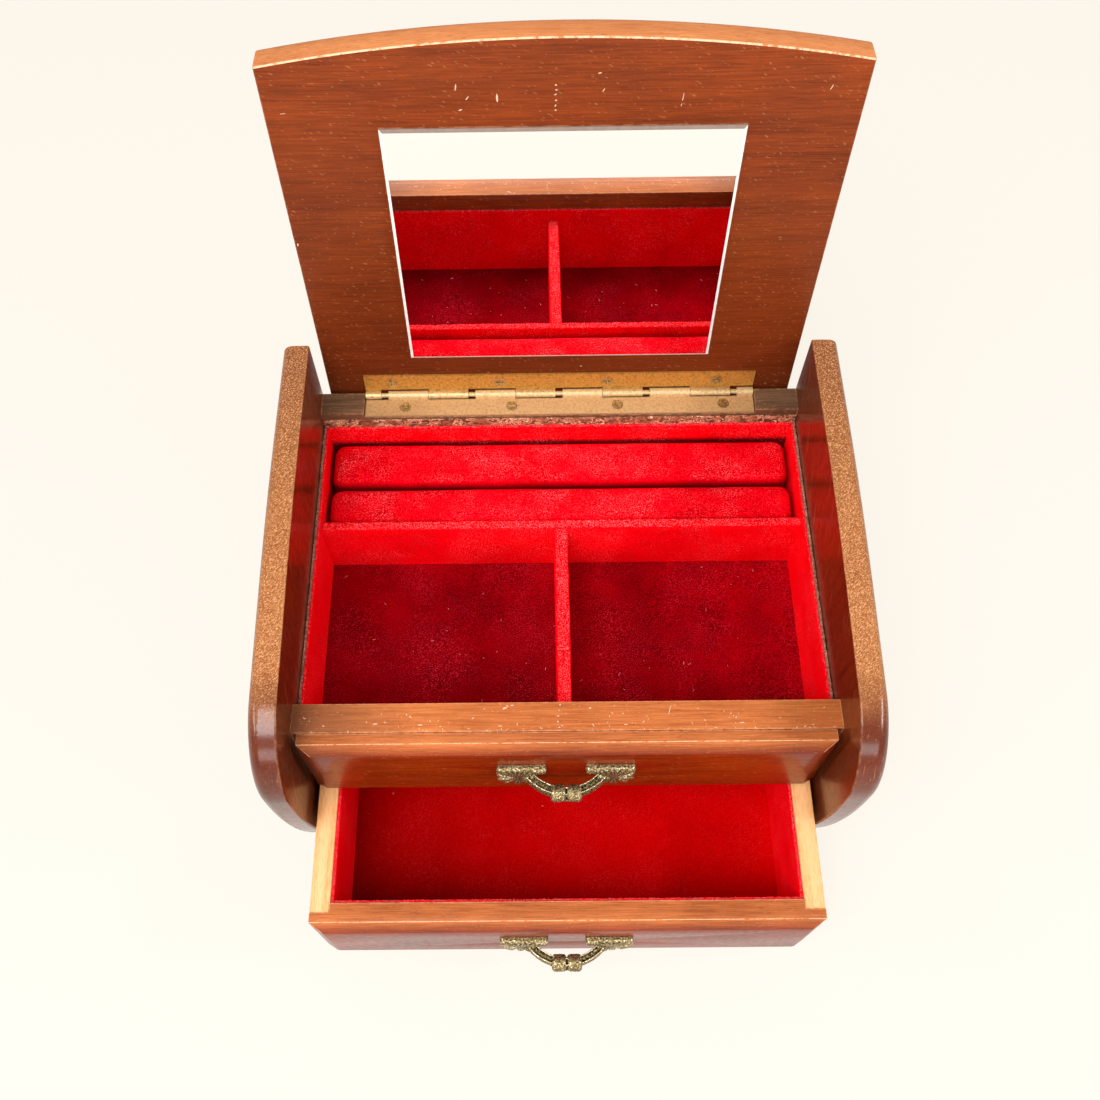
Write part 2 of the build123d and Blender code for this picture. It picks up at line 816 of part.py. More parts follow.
with BuildPart() as upper_screws:
    wood_screws(upper_screw_plane, upper_screw_spots)
save(upper_screws, "hinge_screws_upper")

# Lid, drawn as if closed on the hinge's own axes and so standing open on them
lid_under = pin_drop + lid_rest_gap
lid_rear = lid_overhang
lid_side_y = lid_rear - lid_length
mirror_pocket = mirror_thickness - mirror_proud
mirror_y = (lid_rear - mirror_from_rear - mirror_height, lid_rear - mirror_from_rear)
mirror_x = (-mirror_width / 2, mirror_width / 2)
with BuildPart() as lid:
    with BuildSketch(lid_frame.offset(lid_under)) as outline:
        with BuildLine():
            rear_line = Line((-lid_width / 2, lid_rear), (lid_width / 2, lid_rear))
            right_line = Line(rear_line @ 1, (lid_width / 2, lid_side_y))
            bow = ThreePointArc(right_line @ 1, (0, lid_side_y - lid_bow), (-lid_width / 2, lid_side_y))
            Line(bow @ 1, rear_line @ 0)
        make_face()
    extrude(outline.sketch, amount=lid_thickness)
    top_edges = [
        e
        for e in lid.part.edges()
        if abs(lid_frame.to_local_coords(e @ 0).Z - lid_under - lid_thickness) < touch
        and abs(lid_frame.to_local_coords(e @ 1).Z - lid_under - lid_thickness) < touch
    ]
    fillet(top_edges, lid_rounding)
    under_edges = [
        e
        for e in lid.part.edges()
        if abs(lid_frame.to_local_coords(e @ 0).Z - lid_under) < touch
        and abs(lid_frame.to_local_coords(e @ 1).Z - lid_under) < touch
    ]
    chamfer(under_edges, lid_edge_break)
    # Room for the knuckles along the rear edge, the screws, and the mirror's shallow bed
    board(
        (-mortise_end, mortise_end),
        (-knuckle_clear, lid_rear + 1),
        (lid_under - 1, knuckle_clear),
        lid_frame,
        mode=Mode.SUBTRACT,
    )
    wood_screws(upper_screw_plane, upper_screw_spots, Mode.SUBTRACT, fit_gap)
    board(
        (mirror_x[0] - fit_gap, mirror_x[1] + fit_gap),
        (mirror_y[0] - fit_gap, mirror_y[1] + fit_gap),
        (lid_under - 1, lid_under + mirror_pocket),
        lid_frame,
        mode=Mode.SUBTRACT,
    )
save(lid, "lid_panel")

with BuildPart() as mirror:
    board(mirror_x, mirror_y, (lid_under - mirror_proud, lid_under + mirror_pocket), lid_frame)
    face_edges = [
        e
        for e in mirror.part.edges()
        if abs(lid_frame.to_local_coords(e.center()).Z - lid_under + mirror_proud) < touch
    ]
    chamfer(face_edges, mirror_bevel_drop, mirror_bevel)
save(mirror, "mirror")

# Real drawer, standing pulled out
with BuildPart() as drawer_front:
    raised_front(drawer_inner_face, drawer_front_top, front_thickness)
    for side in (-1, 1):
        outer = side * front_width / 2
        inner = side * drawer_side_inner
        board(
            (min(inner, outer), max(inner, outer)),
            (drawer_inner_face - drawer_rabbet, drawer_inner_face),
            (drawer_front_bottom, drawer_front_top + 1),
            mode=Mode.SUBTRACT,
        )
    pull_screw_holes(drawer_face, drawer_front_top - front_height / 2, drawer_inner_face)
save(drawer_front, "drawer_front")

for name, side in (("left", -1), ("right", 1)):
    with BuildPart() as drawer_side:
        outer = side * front_width / 2
        inner = side * drawer_side_inner
        board(
            (min(inner, outer), max(inner, outer)),
            (drawer_inner_face - drawer_rabbet, drawer_rear),
            (drawer_floor, drawer_rim),
        )
    save(drawer_side, f"drawer_side_{name}")

with BuildPart() as drawer_back:
    board(
        (-drawer_side_inner, drawer_side_inner),
        (drawer_rear - drawer_wood, drawer_rear),
        (drawer_floor, drawer_rim),
    )
save(drawer_back, "drawer_back")

with BuildPart() as drawer_bottom:
    board((-front_width / 2, front_width / 2), (drawer_inner_face, drawer_rear), (drawer_under, drawer_floor))
save(drawer_bottom, "drawer_bottom")

drawer_floor_top = drawer_floor + drawer_lining
drawer_lining_top = drawer_rim - drawer_lining_drop
drawer_lining_rear = drawer_rear - drawer_wood
lining_span = (drawer_floor_top, drawer_lining_top)
with BuildPart() as drawer_floor_lining:
    board(
        (-drawer_side_inner, drawer_side_inner),
        (drawer_inner_face, drawer_lining_rear),
        (drawer_floor, drawer_floor_top),
    )
save(drawer_floor_lining, "drawer_lining_floor")

for name, side in (("left", -1), ("right", 1)):
    with BuildPart() as side_lining:
        outer = side * drawer_side_inner
        inner = side * (drawer_side_inner - drawer_lining)
        board((min(inner, outer), max(inner, outer)), (drawer_inner_face, drawer_lining_rear), lining_span)
    save(side_lining, f"drawer_lining_{name}")

drawer_lining_x = (-drawer_side_inner + drawer_lining, drawer_side_inner - drawer_lining)
with BuildPart() as front_lining:
    board(drawer_lining_x, (drawer_inner_face, drawer_inner_face + drawer_lining), lining_span)
save(front_lining, "drawer_lining_front")

with BuildPart() as rear_lining:
    board(drawer_lining_x, (drawer_lining_rear - drawer_lining, drawer_lining_rear), lining_span)
save(rear_lining, "drawer_lining_rear")

drawer_pull_z = drawer_front_top - front_height / 2
with BuildPart() as lower_pull:
    pull(drawer_face, drawer_pull_z)
save(lower_pull, "lower_pull")

with BuildPart() as lower_pull_screws:
    pull_screws(drawer_face, drawer_pull_z, drawer_inner_face)
save(lower_pull_screws, "lower_pull_screws")

# Musical movement on the back panel
bed_x = (-bed_width / 2, bed_width / 2)
bed_y = (-bed_height / 2, bed_height / 2)
ear_top = axis_height + ear_margin
comb_x = (cylinder_start, cylinder_end)
with BuildPart() as bedplate:
    board(bed_x, bed_y, (0, bed_thickness), movement)
    comb_seat_y = (comb_end, comb_root - comb_seat_setback)
    board(comb_x, comb_seat_y, (bed_thickness, axis_height - comb_thickness / 2), movement)
    ears = (
        (ear_left_x, arbor_z - ear_half_width, arbor_z + ear_half_width),
        (ear_right_x, arbor_z - ear_half_width, fan_y + ear_margin),
        (ear_inner_x, governor_y - inner_ear_reach, fan_y + ear_margin),
    )
    for ear_x, ear_bottom, ear_end in ears:
        board((ear_x, ear_x + ear_thickness), (ear_bottom, ear_end), (0, ear_top), movement)
    bearing_bores()
    with Locations(movement):
        with Locations((arbor_x, arbor_z, bed_thickness)):
            Hole(arbor_radius + fit_gap, depth=bed_thickness)
        with Locations(*[(x, z, bed_thickness) for x, z in movement_screw_spots]):
            Hole(movement_screw_radius + fit_gap, depth=bed_thickness)
save(bedplate, "movement_bedplate")

with BuildPart() as movement_screws:
    domed_screws(
        [through_back(x, z + movement_centre) for x, z in movement_screw_spots],
        movement_screw_radius,
        movement_screw_head,
        back_panel_thickness + bed_thickness,
    )
save(movement_screws, "movement_screws")

comb_pitch = cylinder_length / comb_teeth
comb_middle = (comb_x[0] + comb_x[1]) / 2
comb_screw_spots = [
    (comb_middle + side * comb_screw_spread / 2, comb_end + comb_screw_inset) for side in (-1, 1)
]
with BuildPart() as comb:
    with BuildSketch(movement.offset(axis_height - comb_thickness / 2)) as comb_shape:
        with Locations((comb_middle, (comb_end + comb_root) / 2)):
            Rectangle(cylinder_length, comb_base)
        with Locations((comb_middle, (comb_root + comb_tip) / 2)):
            with GridLocations(comb_pitch, 0, comb_teeth, 1):
                Rectangle(comb_pitch * comb_tooth_share, comb_tooth_length)
        with Locations(*comb_screw_spots):
            Circle(comb_screw_radius + fit_gap, mode=Mode.SUBTRACT)
    extrude(amount=comb_thickness)
save(comb, "music_comb")

comb_top = axis_height + comb_thickness / 2
with BuildPart() as comb_screws:
    with Locations(movement):
        with Locations(*[(x, y, comb_top) for x, y in comb_screw_spots]):
            Cylinder(
                comb_screw_head, comb_screw_head_height, align=(Align.CENTER, Align.CENTER, Align.MIN)
            )
            Cylinder(comb_screw_radius, comb_thickness, align=(Align.CENTER, Align.CENTER, Align.MAX))
            with Locations((0, 0, comb_screw_head_height)):
                Box(comb_screw_head * 2, slot_width, 2 * slot_depth, mode=Mode.SUBTRACT)
save(comb_screws, "comb_screws")

with BuildPart() as cylinder:
    rod(cylinder_start, cylinder_end, arbor_z, axis_height, cylinder_radius)
    for row in range(pin_rows):
        for pin in range(pins_per_row):
            turn = radians(pin_row_turn * row + 360 / pins_per_row * pin + first_pin_turn)
            reach = cylinder_radius + (pin_reach - pin_root) / 2
            spot = across(
                cylinder_start + (row + 0.5) * cylinder_length / pin_rows - pin_thickness / 2,
                arbor_z + reach * cos(turn),
                axis_height + reach * sin(turn),
            )
            with BuildSketch(spot) as pin_foot:
                Rectangle(pin_reach + pin_root, pin_thickness, rotation=degrees(turn))
            extrude(pin_foot.sketch, amount=pin_thickness)
    rod(cylinder_start, cylinder_end, arbor_z, axis_height, axle_radius + fit_gap, Mode.SUBTRACT)
save(cylinder, "pinned_cylinder")

with BuildPart() as cylinder_wheel:
    gear(across(wheel_x, arbor_z, axis_height), big_teeth, 0, wheel_width)
    gear(
        across(pinion_x - pinion_width / 2, arbor_z, axis_height),
        pinion_teeth,
        90,
        pinion_width,
        module=pinion_module,
    )
    rod(pinion_x + pinion_width / 2, cylinder_start, arbor_z, axis_height, spacer_radius)
    rod(cylinder_end, wheel_x, arbor_z, axis_height, spacer_radius)
    rod(ear_left_x, ear_right_x + ear_thickness, arbor_z, axis_height, axle_radius)
save(cylinder_wheel, "cylinder_axle_and_gears")

small_phase = 180 + 180 / small_teeth
with BuildPart() as governor_wheel:
    gear(across(wheel_x, governor_y, axis_height), small_teeth, small_phase, wheel_width)
    gear(across(governor_wheel_x + wheel_width, governor_y, axis_height), governor_teeth, -45, wheel_width)
    rod(wheel_x + wheel_width, governor_wheel_x + wheel_width, governor_y, axis_height, hub_radius)
    rod(ear_inner_x, ear_right_x + ear_thickness, governor_y, axis_height, axle_radius)
save(governor_wheel, "governor_wheel")

with BuildPart() as fan:
    fan_phase = 135 + 180 / small_teeth
    gear(across(governor_wheel_x + wheel_width, fan_y, fan_height), small_teeth, fan_phase, wheel_width)
    rod(ear_inner_x, ear_right_x + ear_thickness, fan_y, fan_height, axle_radius)
    for turn in (0, 90):
        with BuildSketch(across(blade_start, fan_y, fan_height)) as blade:
            Rectangle(2 * fan_radius, blade_thickness, rotation=turn + blade_turn)
        extrude(blade.sketch, amount=fan_length)
save(fan, "governor_fan")

with BuildPart() as barrel:
    barrel_plane = movement.offset(barrel_base)
    with Locations(barrel_plane):
        with Locations((arbor_x, arbor_z)):
            Cylinder(barrel_radius, barrel_length, align=(Align.CENTER, Align.CENTER, Align.MIN))
            with Locations((0, 0, barrel_wall)):
                Cylinder(
                    barrel_radius - barrel_wall,
                    barrel_length - 2 * barrel_wall,
                    align=(Align.CENTER, Align.CENTER, Align.MIN),
                    mode=Mode.SUBTRACT,
                )
            Cylinder(
                arbor_radius + fit_gap,
                barrel_length,
                align=(Align.CENTER, Align.CENTER, Align.MIN),
                mode=Mode.SUBTRACT,
            )
    with BuildSketch(movement.offset(barrel_top)) as crown:
        with Locations((arbor_x, arbor_z)):
            with PolarLocations(crown_mesh_radius, crown_teeth, start_angle=180 / crown_teeth):
                Rectangle(crown_tooth_length, crown_tooth_thickness)
    extrude(crown.sketch, amount=crown_tooth_height)
save(barrel, "spring_barrel")

spring_width = barrel_length - 2 * barrel_wall - 2 * spring_air
spring_start = arbor_radius + 3 * spring_air
spring_pitch = (barrel_radius - barrel_wall - 4 * spring_air - spring_start) / spring_turns
with BuildPart() as mainspring:
    with BuildSketch(movement.offset(barrel_base + barrel_wall + spring_air)) as coil:
        with BuildLine():
            shift = 0.0
            radius = spring_start
            half = spring_thickness / 2
            for step in range(2 * spring_turns):
                middle = (arbor_x + shift, arbor_z)
                CenterArc(middle, radius - half, 180 * step, 180)
                CenterArc(middle, radius + half, 180 * step, 180)
                growth = spring_pitch / 2
                shift += growth if step % 2 == 0 else -growth
                radius += growth
            first = arbor_x + spring_start
            last = first + spring_turns * spring_pitch
            Line((first - half, arbor_z), (first + half, arbor_z))
            Line((last - half, arbor_z), (last + half, arbor_z))
        make_face()
    extrude(amount=spring_width)
save(mainspring, "mainspring")

arbor_end = barrel_top + arbor_stub
key_out = back_panel_thickness + key_standoff
with BuildPart() as arbor:
    with BuildSketch(movement.offset(-key_out)) as shaft:
        with Locations((arbor_x, arbor_z)):
            Circle(arbor_radius)
    extrude(shaft.sketch, amount=key_out + arbor_end)
save(arbor, "winding_arbor")

with BuildPart() as key:
    socket_plane = Plane(origin=(key_x, back + key_gap, key_z), x_dir=(1, 0, 0), z_dir=(0, 1, 0))
    with BuildSketch(socket_plane) as socket:
        Circle(arbor_radius + key_socket_wall)
    extrude(socket.sketch, amount=key_standoff + key_thickness)
    grip_plane = Plane(origin=(key_x, back + key_standoff, key_z), x_dir=(1, 0, 0), z_dir=(0, 0, 1))
    with BuildSketch(grip_plane.offset(-key_thickness / 2)) as butterfly:
        with Locations((-key_wing * 0.6, key_wing * 0.45), (key_wing * 0.6, key_wing * 0.45)):
            Ellipse(key_wing * 0.55, key_wing * 0.45)
        with Locations((0, key_wing * 0.3)):
            Rectangle(key_wing * 0.8, key_wing * 0.5)
        with Locations((-key_wing * 0.65, key_wing * 0.45), (key_wing * 0.65, key_wing * 0.45)):
            Circle(key_wing * 0.16, mode=Mode.SUBTRACT)
    extrude(butterfly.sketch, amount=key_thickness)
    with BuildSketch(socket_plane) as socket_bore:
        Circle(arbor_radius + fit_gap)
    extrude(socket_bore.sketch, amount=key_standoff - key_gap + fit_gap, mode=Mode.SUBTRACT)
save(key, "winding_key")

# Sprung rod that the closing drawer pushes to silence the tune
rod_front = partition_front - drawer_stop_depth + running_gap
rod_rear = back_panel_inner - fan_height - fan_radius - running_gap - stop_travel
with BuildPart() as stop_rod:
    rod_plane = Plane(origin=(stop_rod_x, rod_front, stop_rod_z), x_dir=(1, 0, 0), z_dir=(0, 1, 0))
    with BuildSketch(rod_plane) as rod_end:
        Circle(stop_rod_radius)
    extrude(rod_end.sketch, amount=rod_rear - rod_front)
    collar = partition_rear + fit_gap
    with BuildSketch(rod_plane.offset(collar - rod_front)) as collar_ring:
        Circle(2 * stop_rod_radius)
    extrude(collar_ring.sketch, amount=stop_collar_thickness)
save(stop_rod, "stop_rod")
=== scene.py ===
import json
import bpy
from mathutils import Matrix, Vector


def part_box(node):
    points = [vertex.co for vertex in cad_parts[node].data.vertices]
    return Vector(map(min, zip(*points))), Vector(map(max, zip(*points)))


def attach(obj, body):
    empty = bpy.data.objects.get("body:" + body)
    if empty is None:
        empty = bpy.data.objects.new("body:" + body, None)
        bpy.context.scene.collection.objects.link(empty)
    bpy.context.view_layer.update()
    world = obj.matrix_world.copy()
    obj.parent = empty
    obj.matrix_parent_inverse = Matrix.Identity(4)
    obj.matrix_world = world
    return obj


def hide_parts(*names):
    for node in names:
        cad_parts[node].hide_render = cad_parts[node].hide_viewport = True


bl_info = {
    "name": "Musical Jewelry Box",
    "version": (1, 0, 0),
    "blender": (4, 5, 0),
    "location": "View3D > Sidebar > Jewelry Box",
    "description": "Dresses a musical jewelry box in lacquered wood, velvet, brass and mirror glass",
    "category": "Object",
}

from math import atan2, cos, exp, pi, radians, sin
from random import Random

import bmesh
import bpy
from bpy.props import FloatProperty, IntProperty, PointerProperty, StringProperty
from mathutils import Matrix, Vector
from mathutils.noise import noise

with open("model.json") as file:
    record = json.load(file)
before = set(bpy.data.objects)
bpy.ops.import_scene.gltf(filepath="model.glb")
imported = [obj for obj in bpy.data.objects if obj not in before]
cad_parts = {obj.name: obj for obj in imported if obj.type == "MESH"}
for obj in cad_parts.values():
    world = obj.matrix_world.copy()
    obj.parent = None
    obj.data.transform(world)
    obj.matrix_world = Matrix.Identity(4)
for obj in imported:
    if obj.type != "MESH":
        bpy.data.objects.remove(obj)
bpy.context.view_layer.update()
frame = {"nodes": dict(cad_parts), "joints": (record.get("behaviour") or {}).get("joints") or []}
NODES = frame["nodes"]
MM = 0.001
TINY = 1e-6

# The lid is shaped upright on its hinge pin: X across, Y through it from the mirror's side, Z up to the bow
HINGE = next(joint for joint in frame["joints"] if joint["name"] == "lid_hinge")
PIN = Vector(HINGE["pos_m"])
LID_LEAN = radians(HINGE["range_deg"][1] - 90)
LID_FRAME = Matrix.Translation(PIN) @ Matrix.Rotation(-LID_LEAN, 4, "X")


def length_property(name, description, millimetres):
    return FloatProperty(name=name, description=description, default=millimetres * MM, unit="LENGTH")


def colour_property(name, description, hex_colour):
    return StringProperty(name=name, description=description, default=hex_colour)


class JewelryBoxSizes(bpy.types.PropertyGroup):
    board_edge: length_property("Board edge", "Radius of the sanded board edges", 0.45)
    lid_width: length_property("Lid width", "Lid from side to side", 217.8)
    lid_face: length_property("Lid face", "From the hinge pin to the lid's inner face", 2.1)
    lid_thickness: length_property("Lid thickness", "Thickness of the lid", 13.2)
    lid_overhang: length_property("Lid overhang", "How far the lid's rear edge passes the pin", 4.8)
    lid_side: length_property("Lid side", "From the pin to the lid's front corners", 164.35)
    lid_bow: length_property("Lid bow", "Rise of the bowed front edge", 9.6)
    lid_rounding: length_property("Lid rounding", "Rounding of the lid's outer edges", 4.0)
    lid_arris: length_property("Lid arris", "Easing of the lid's inner edges", 0.5)
    mirror_half: length_property("Mirror half width", "Half the mirror's width", 67.9)
    mirror_low: length_property("Mirror low edge", "From the pin to the mirror's rear edge", 23.15)
    mirror_high: length_property("Mirror high edge", "From the pin to the mirror's front edge", 139.95)
    mirror_bevel: length_property("Mirror bevel", "Width of the mirror's ground bevel", 1.2)
    velvet_rim: length_property("Velvet rim", "Rounding of a velvet edge", 0.7)
    velvet_wave: length_property("Velvet wave", "How far the velvet bulges", 0.35)
    panel_gap: length_property("Panel gap", "Gap between the card and the side panel", 0.3)
    card_thickness: length_property("Card thickness", "Card behind the velvet", 0.95)
    fibre_length: length_property("Fibre length", "Loose fibres along the rims", 0.75)
    fibre_width: length_property("Fibre width", "Width of a loose fibre at its foot", 0.15)
    fibre_spacing: length_property("Fibre spacing", "Mean distance between loose fibres", 0.12)
    roll_shoulder: length_property("Roll shoulder", "Rounding of the ring rolls' shoulders", 5.4)
    strap_reach: length_property("Strap reach", "How far a pull's strap stands out at its middle", 9.4)
    bead_radius: length_property("Bead radius", "Radius of the beads on a pull", 3.7)
    lint_count: IntProperty(name="Lint", description="Pieces of lint on the tray's velvet", default=46)


class JewelryBoxColours(bpy.types.PropertyGroup):
    lid_light: colour_property("Lid, light", "Early wood of the lid", "#963F12")
    lid_dark: colour_property("Lid, dark", "Late wood of the lid", "#642607")
    front_light: colour_property("Front, light", "Early wood of the fronts", "#963206")
    front_dark: colour_property("Front, dark", "Late wood of the fronts", "#641A02")
    # The tops' colours are partly rubbed wear and partly painted light from above
    lit_top_light: colour_property("Top, light", "Worn wood that faces up, with painted light", "#D07A42")
    lit_top_dark: colour_property("Top, dark", "Its late wood", "#A4552A")
    panel_light: colour_property("Panel, light", "Early wood of the side panels", "#722C0E")
    panel_dark: colour_property("Panel, dark", "Late wood of the side panels", "#4A1A08")
    rail_light: colour_property("Rail, light", "Dirty wood of the hinge rail", "#7C5A40")
    rail_dark: colour_property("Rail, dark", "Its late wood", "#4A3020")
    worn: colour_property("Worn edge", "Wood with its lacquer rubbed off", "#E0A070")
    grime: colour_property("Grime", "Dirt at the ends of the boards", "#6E4A36")
    beech_light: colour_property("Light beech", "Drawer sides", "#F4B67C")
    beech_dark: colour_property("Dark beech", "Fleck of the drawer sides", "#D8924E")
    plywood: colour_property("Plywood", "Unseen boards", "#A9784A")
    # Walls and floors carry two copies of one velvet: the walls' copy is raised brighter as painted light, and
    # the floors' copy is darker, partly worn pile and partly painted shade for pile seen from above
    velvet: colour_property("Velvet", "Standing velvet", "#FF0010")
    velvet_deep: colour_property("Deep velvet", "Velvet in its hollows", "#D80008")
    velvet_dust: colour_property("Velvet dust", "Dust and rubbed pile", "#FF8C94")
    floor_velvet: colour_property("Floor velvet", "Velvet of the tray's floors", "#B4000E")
    floor_velvet_deep: colour_property("Deep floor velvet", "Its hollows", "#5E0006")
    # Painted shade that darkens the drawer floor's velvet towards its front left corner
    brushed: colour_property("Brushed velvet", "Painted shade on the velvet, away from the light", "#440000")
    brass: colour_property("Brass", "Upper hinge leaf", "#D8A24E")
    brass_patina: colour_property("Brass patina", "Tarnish of the hinge", "#86652C")
    # The lower leaf's paler brass is partly hazed lacquer and partly a painted reflection of the light above
    # it
    hazed_lit_brass: colour_property("Hazed brass", "Lower hinge leaf", "#D2A674")
    knuckle: colour_property("Knuckle", "Rubbed hinge knuckles", "#D8B888")
    cast_brass: colour_property("Cast brass", "Highlights of the pulls", "#F6E8C4")
    cast_middle: colour_property("Cast brass middle", "Its toned surface", "#8E7A50")
    cast_patina: colour_property("Cast patina", "Recesses of the pulls", "#140F09")
    card: colour_property("Card", "Card edge behind the velvet", "#B87058")
    backdrop: colour_property("Backdrop", "Floor and background", "#FFF9EF")


def sizes():
    return bpy.context.scene.jewelry_box_sizes


def colours():
    return bpy.context.scene.jewelry_box_colours


def linear(hex_colour, share=1.0):
    """An sRGB hex value as the linear colour that shaders work in, or a share of its light."""
    channels = [int(hex_colour[i : i + 2], 16) / 255 for i in (1, 3, 5)]
    light = [c / 12.92 if c <= 0.04045 else ((c + 0.055) / 1.055) ** 2.4 for c in channels]
    return (*(share * c for c in light), 1.0)


# Materials

# Kinds of node, with the settings that they always have here
COORDINATES = ("ShaderNodeTexCoord", {})
GEOMETRY = ("ShaderNodeNewGeometry", {})
RAYS = ("ShaderNodeLightPath", {})
MAPPING = ("ShaderNodeMapping", {"vector_type": "TEXTURE"})
NOISE = ("ShaderNodeTexNoise", {})
ROUNDED = ("ShaderNodeBevel", {"samples": 4})
AXES = ("ShaderNodeSeparateXYZ", {})
RANGE = ("ShaderNodeMapRange", {})
BLEND = ("ShaderNodeMix", {"data_type": "RGBA"})
BUMP = ("ShaderNodeBump", {})
EMISSION = ("ShaderNodeEmission", {})
SHADER_MIX = ("ShaderNodeMixShader", {})
PRODUCT, SCALED_SUM, LARGER, DIFFERENCE, SIZE = (
    ("ShaderNodeMath", {"operation": operation})
    for operation in ("MULTIPLY", "MULTIPLY_ADD", "MAXIMUM", "SUBTRACT", "ABSOLUTE")
)
DOT, FROM_POINT, SCALED, LENGTH = (
    ("ShaderNodeVectorMath", {"operation": operation})
    for operation in ("DOT_PRODUCT", "SUBTRACT", "MULTIPLY", "LENGTH")
)


def plug(tree, socket, value):
    """Links a node's output to a socket, or sets the socket to a value."""
    if isinstance(value, bpy.types.NodeSocket):
        tree.links.new(value, socket)
    else:
        socket.default_value = value


def add(tree, kind, *values, output=None, **named):
    """Adds a node and gives its output. Values fill its inputs in order, and named ones go by name."""
    node_type, settings = kind
    node = tree.nodes.new(node_type)
    for key, value in settings.items():
        setattr(node, key, value)
    free = [socket for socket in node.inputs if not socket.is_unavailable]
    for socket, value in zip(free, values):
        plug(tree, socket, value)
    for key, value in named.items():
        plug(tree, node.inputs[key], value)
    if output:
        return node.outputs[output]
    return next(socket for socket in node.outputs if not socket.is_unavailable)


def finish(dress):
    """Turns a function that dresses a node tree into one that gives the material by name, made once."""

    def make(name, *details, **named):
        material = bpy.data.materials.get(name)
        if not material:
            material = bpy.data.materials.new(name)
            material.use_nodes = True
            dress(material.node_tree, *details, **named)
        return material

    return make


def surface(tree, colour, roughness, relief=None, **inputs):
    """Dresses the material's own shader. relief is a height, its strength and its depth in millimetres."""
    shader = tree.nodes["Principled BSDF"]
    if relief:
        height, strength, depth = relief
        inputs["Normal"] = add(tree, BUMP, Height=height, Strength=strength, Distance=depth * MM)
    for key, value in {"Base_Color": colour, "Roughness": roughness, **inputs}.items():
        plug(tree, shader.inputs[key.replace("_", " ")], value)
    return shader


def pattern(tree, size, length=(1, 1, 1), turn=(0, 0, 0), detail=3.0, roughness=0.55, distortion=0.0):
    """Noise with features of a size in millimetres, drawn out by a factor along each turned axis."""
    place = add(tree, MAPPING, add(tree, COORDINATES, output="Object"), Rotation=turn, Scale=length)
    return add(
        tree, NOISE, place, Scale=1000 / size, Detail=detail, Roughness=roughness, Distortion=distortion
    )


def place_along(tree, axis):
    """A point's place along an axis, in metres."""
    return add(tree, AXES, add(tree, COORDINATES, output="Object"), output=axis)


def facing_up(tree, low, high):
    """0 on walls and 1 on faces that look up on the standing box."""
    normal = add(tree, COORDINATES, output="Normal")
    return add(tree, RANGE, add(tree, AXES, normal, output="Z"), low, high)


def edge_mask(tree, radius):
    """1 at sharp edges and 0 on flat faces, from the difference that a rounded normal makes."""
    rounded = add(tree, ROUNDED, radius)
    match = add(tree, DOT, rounded, add(tree, GEOMETRY, output="Normal"), output="Value")
    return add(tree, RANGE, match, 0.995, 0.9)


def two_tone(tree, height, low, high, first, second):
    """A colour that turns from the first to the second as a height goes from low to high."""
    return add(tree, BLEND, add(tree, RANGE, height, low, high), first, second)


GRAIN = {"X": (28, 1, 1), "Y": (1, 28, 1), "Z": (1, 1, 28)}
# For wood with its grain along an axis, how far the scratches are drawn out and how they are turned
SCRATCHES = {"X": ((60, 1, 1), (0, 0.45, 0.25)), "Z": ((1, 36, 1), (1.0, 0, 0))}


def short_grain(axis):
    """Grain for pores and flecks, which are shorter than the growth lines."""
    return [1 + (factor - 1) * 0.3 for factor in GRAIN[axis]]


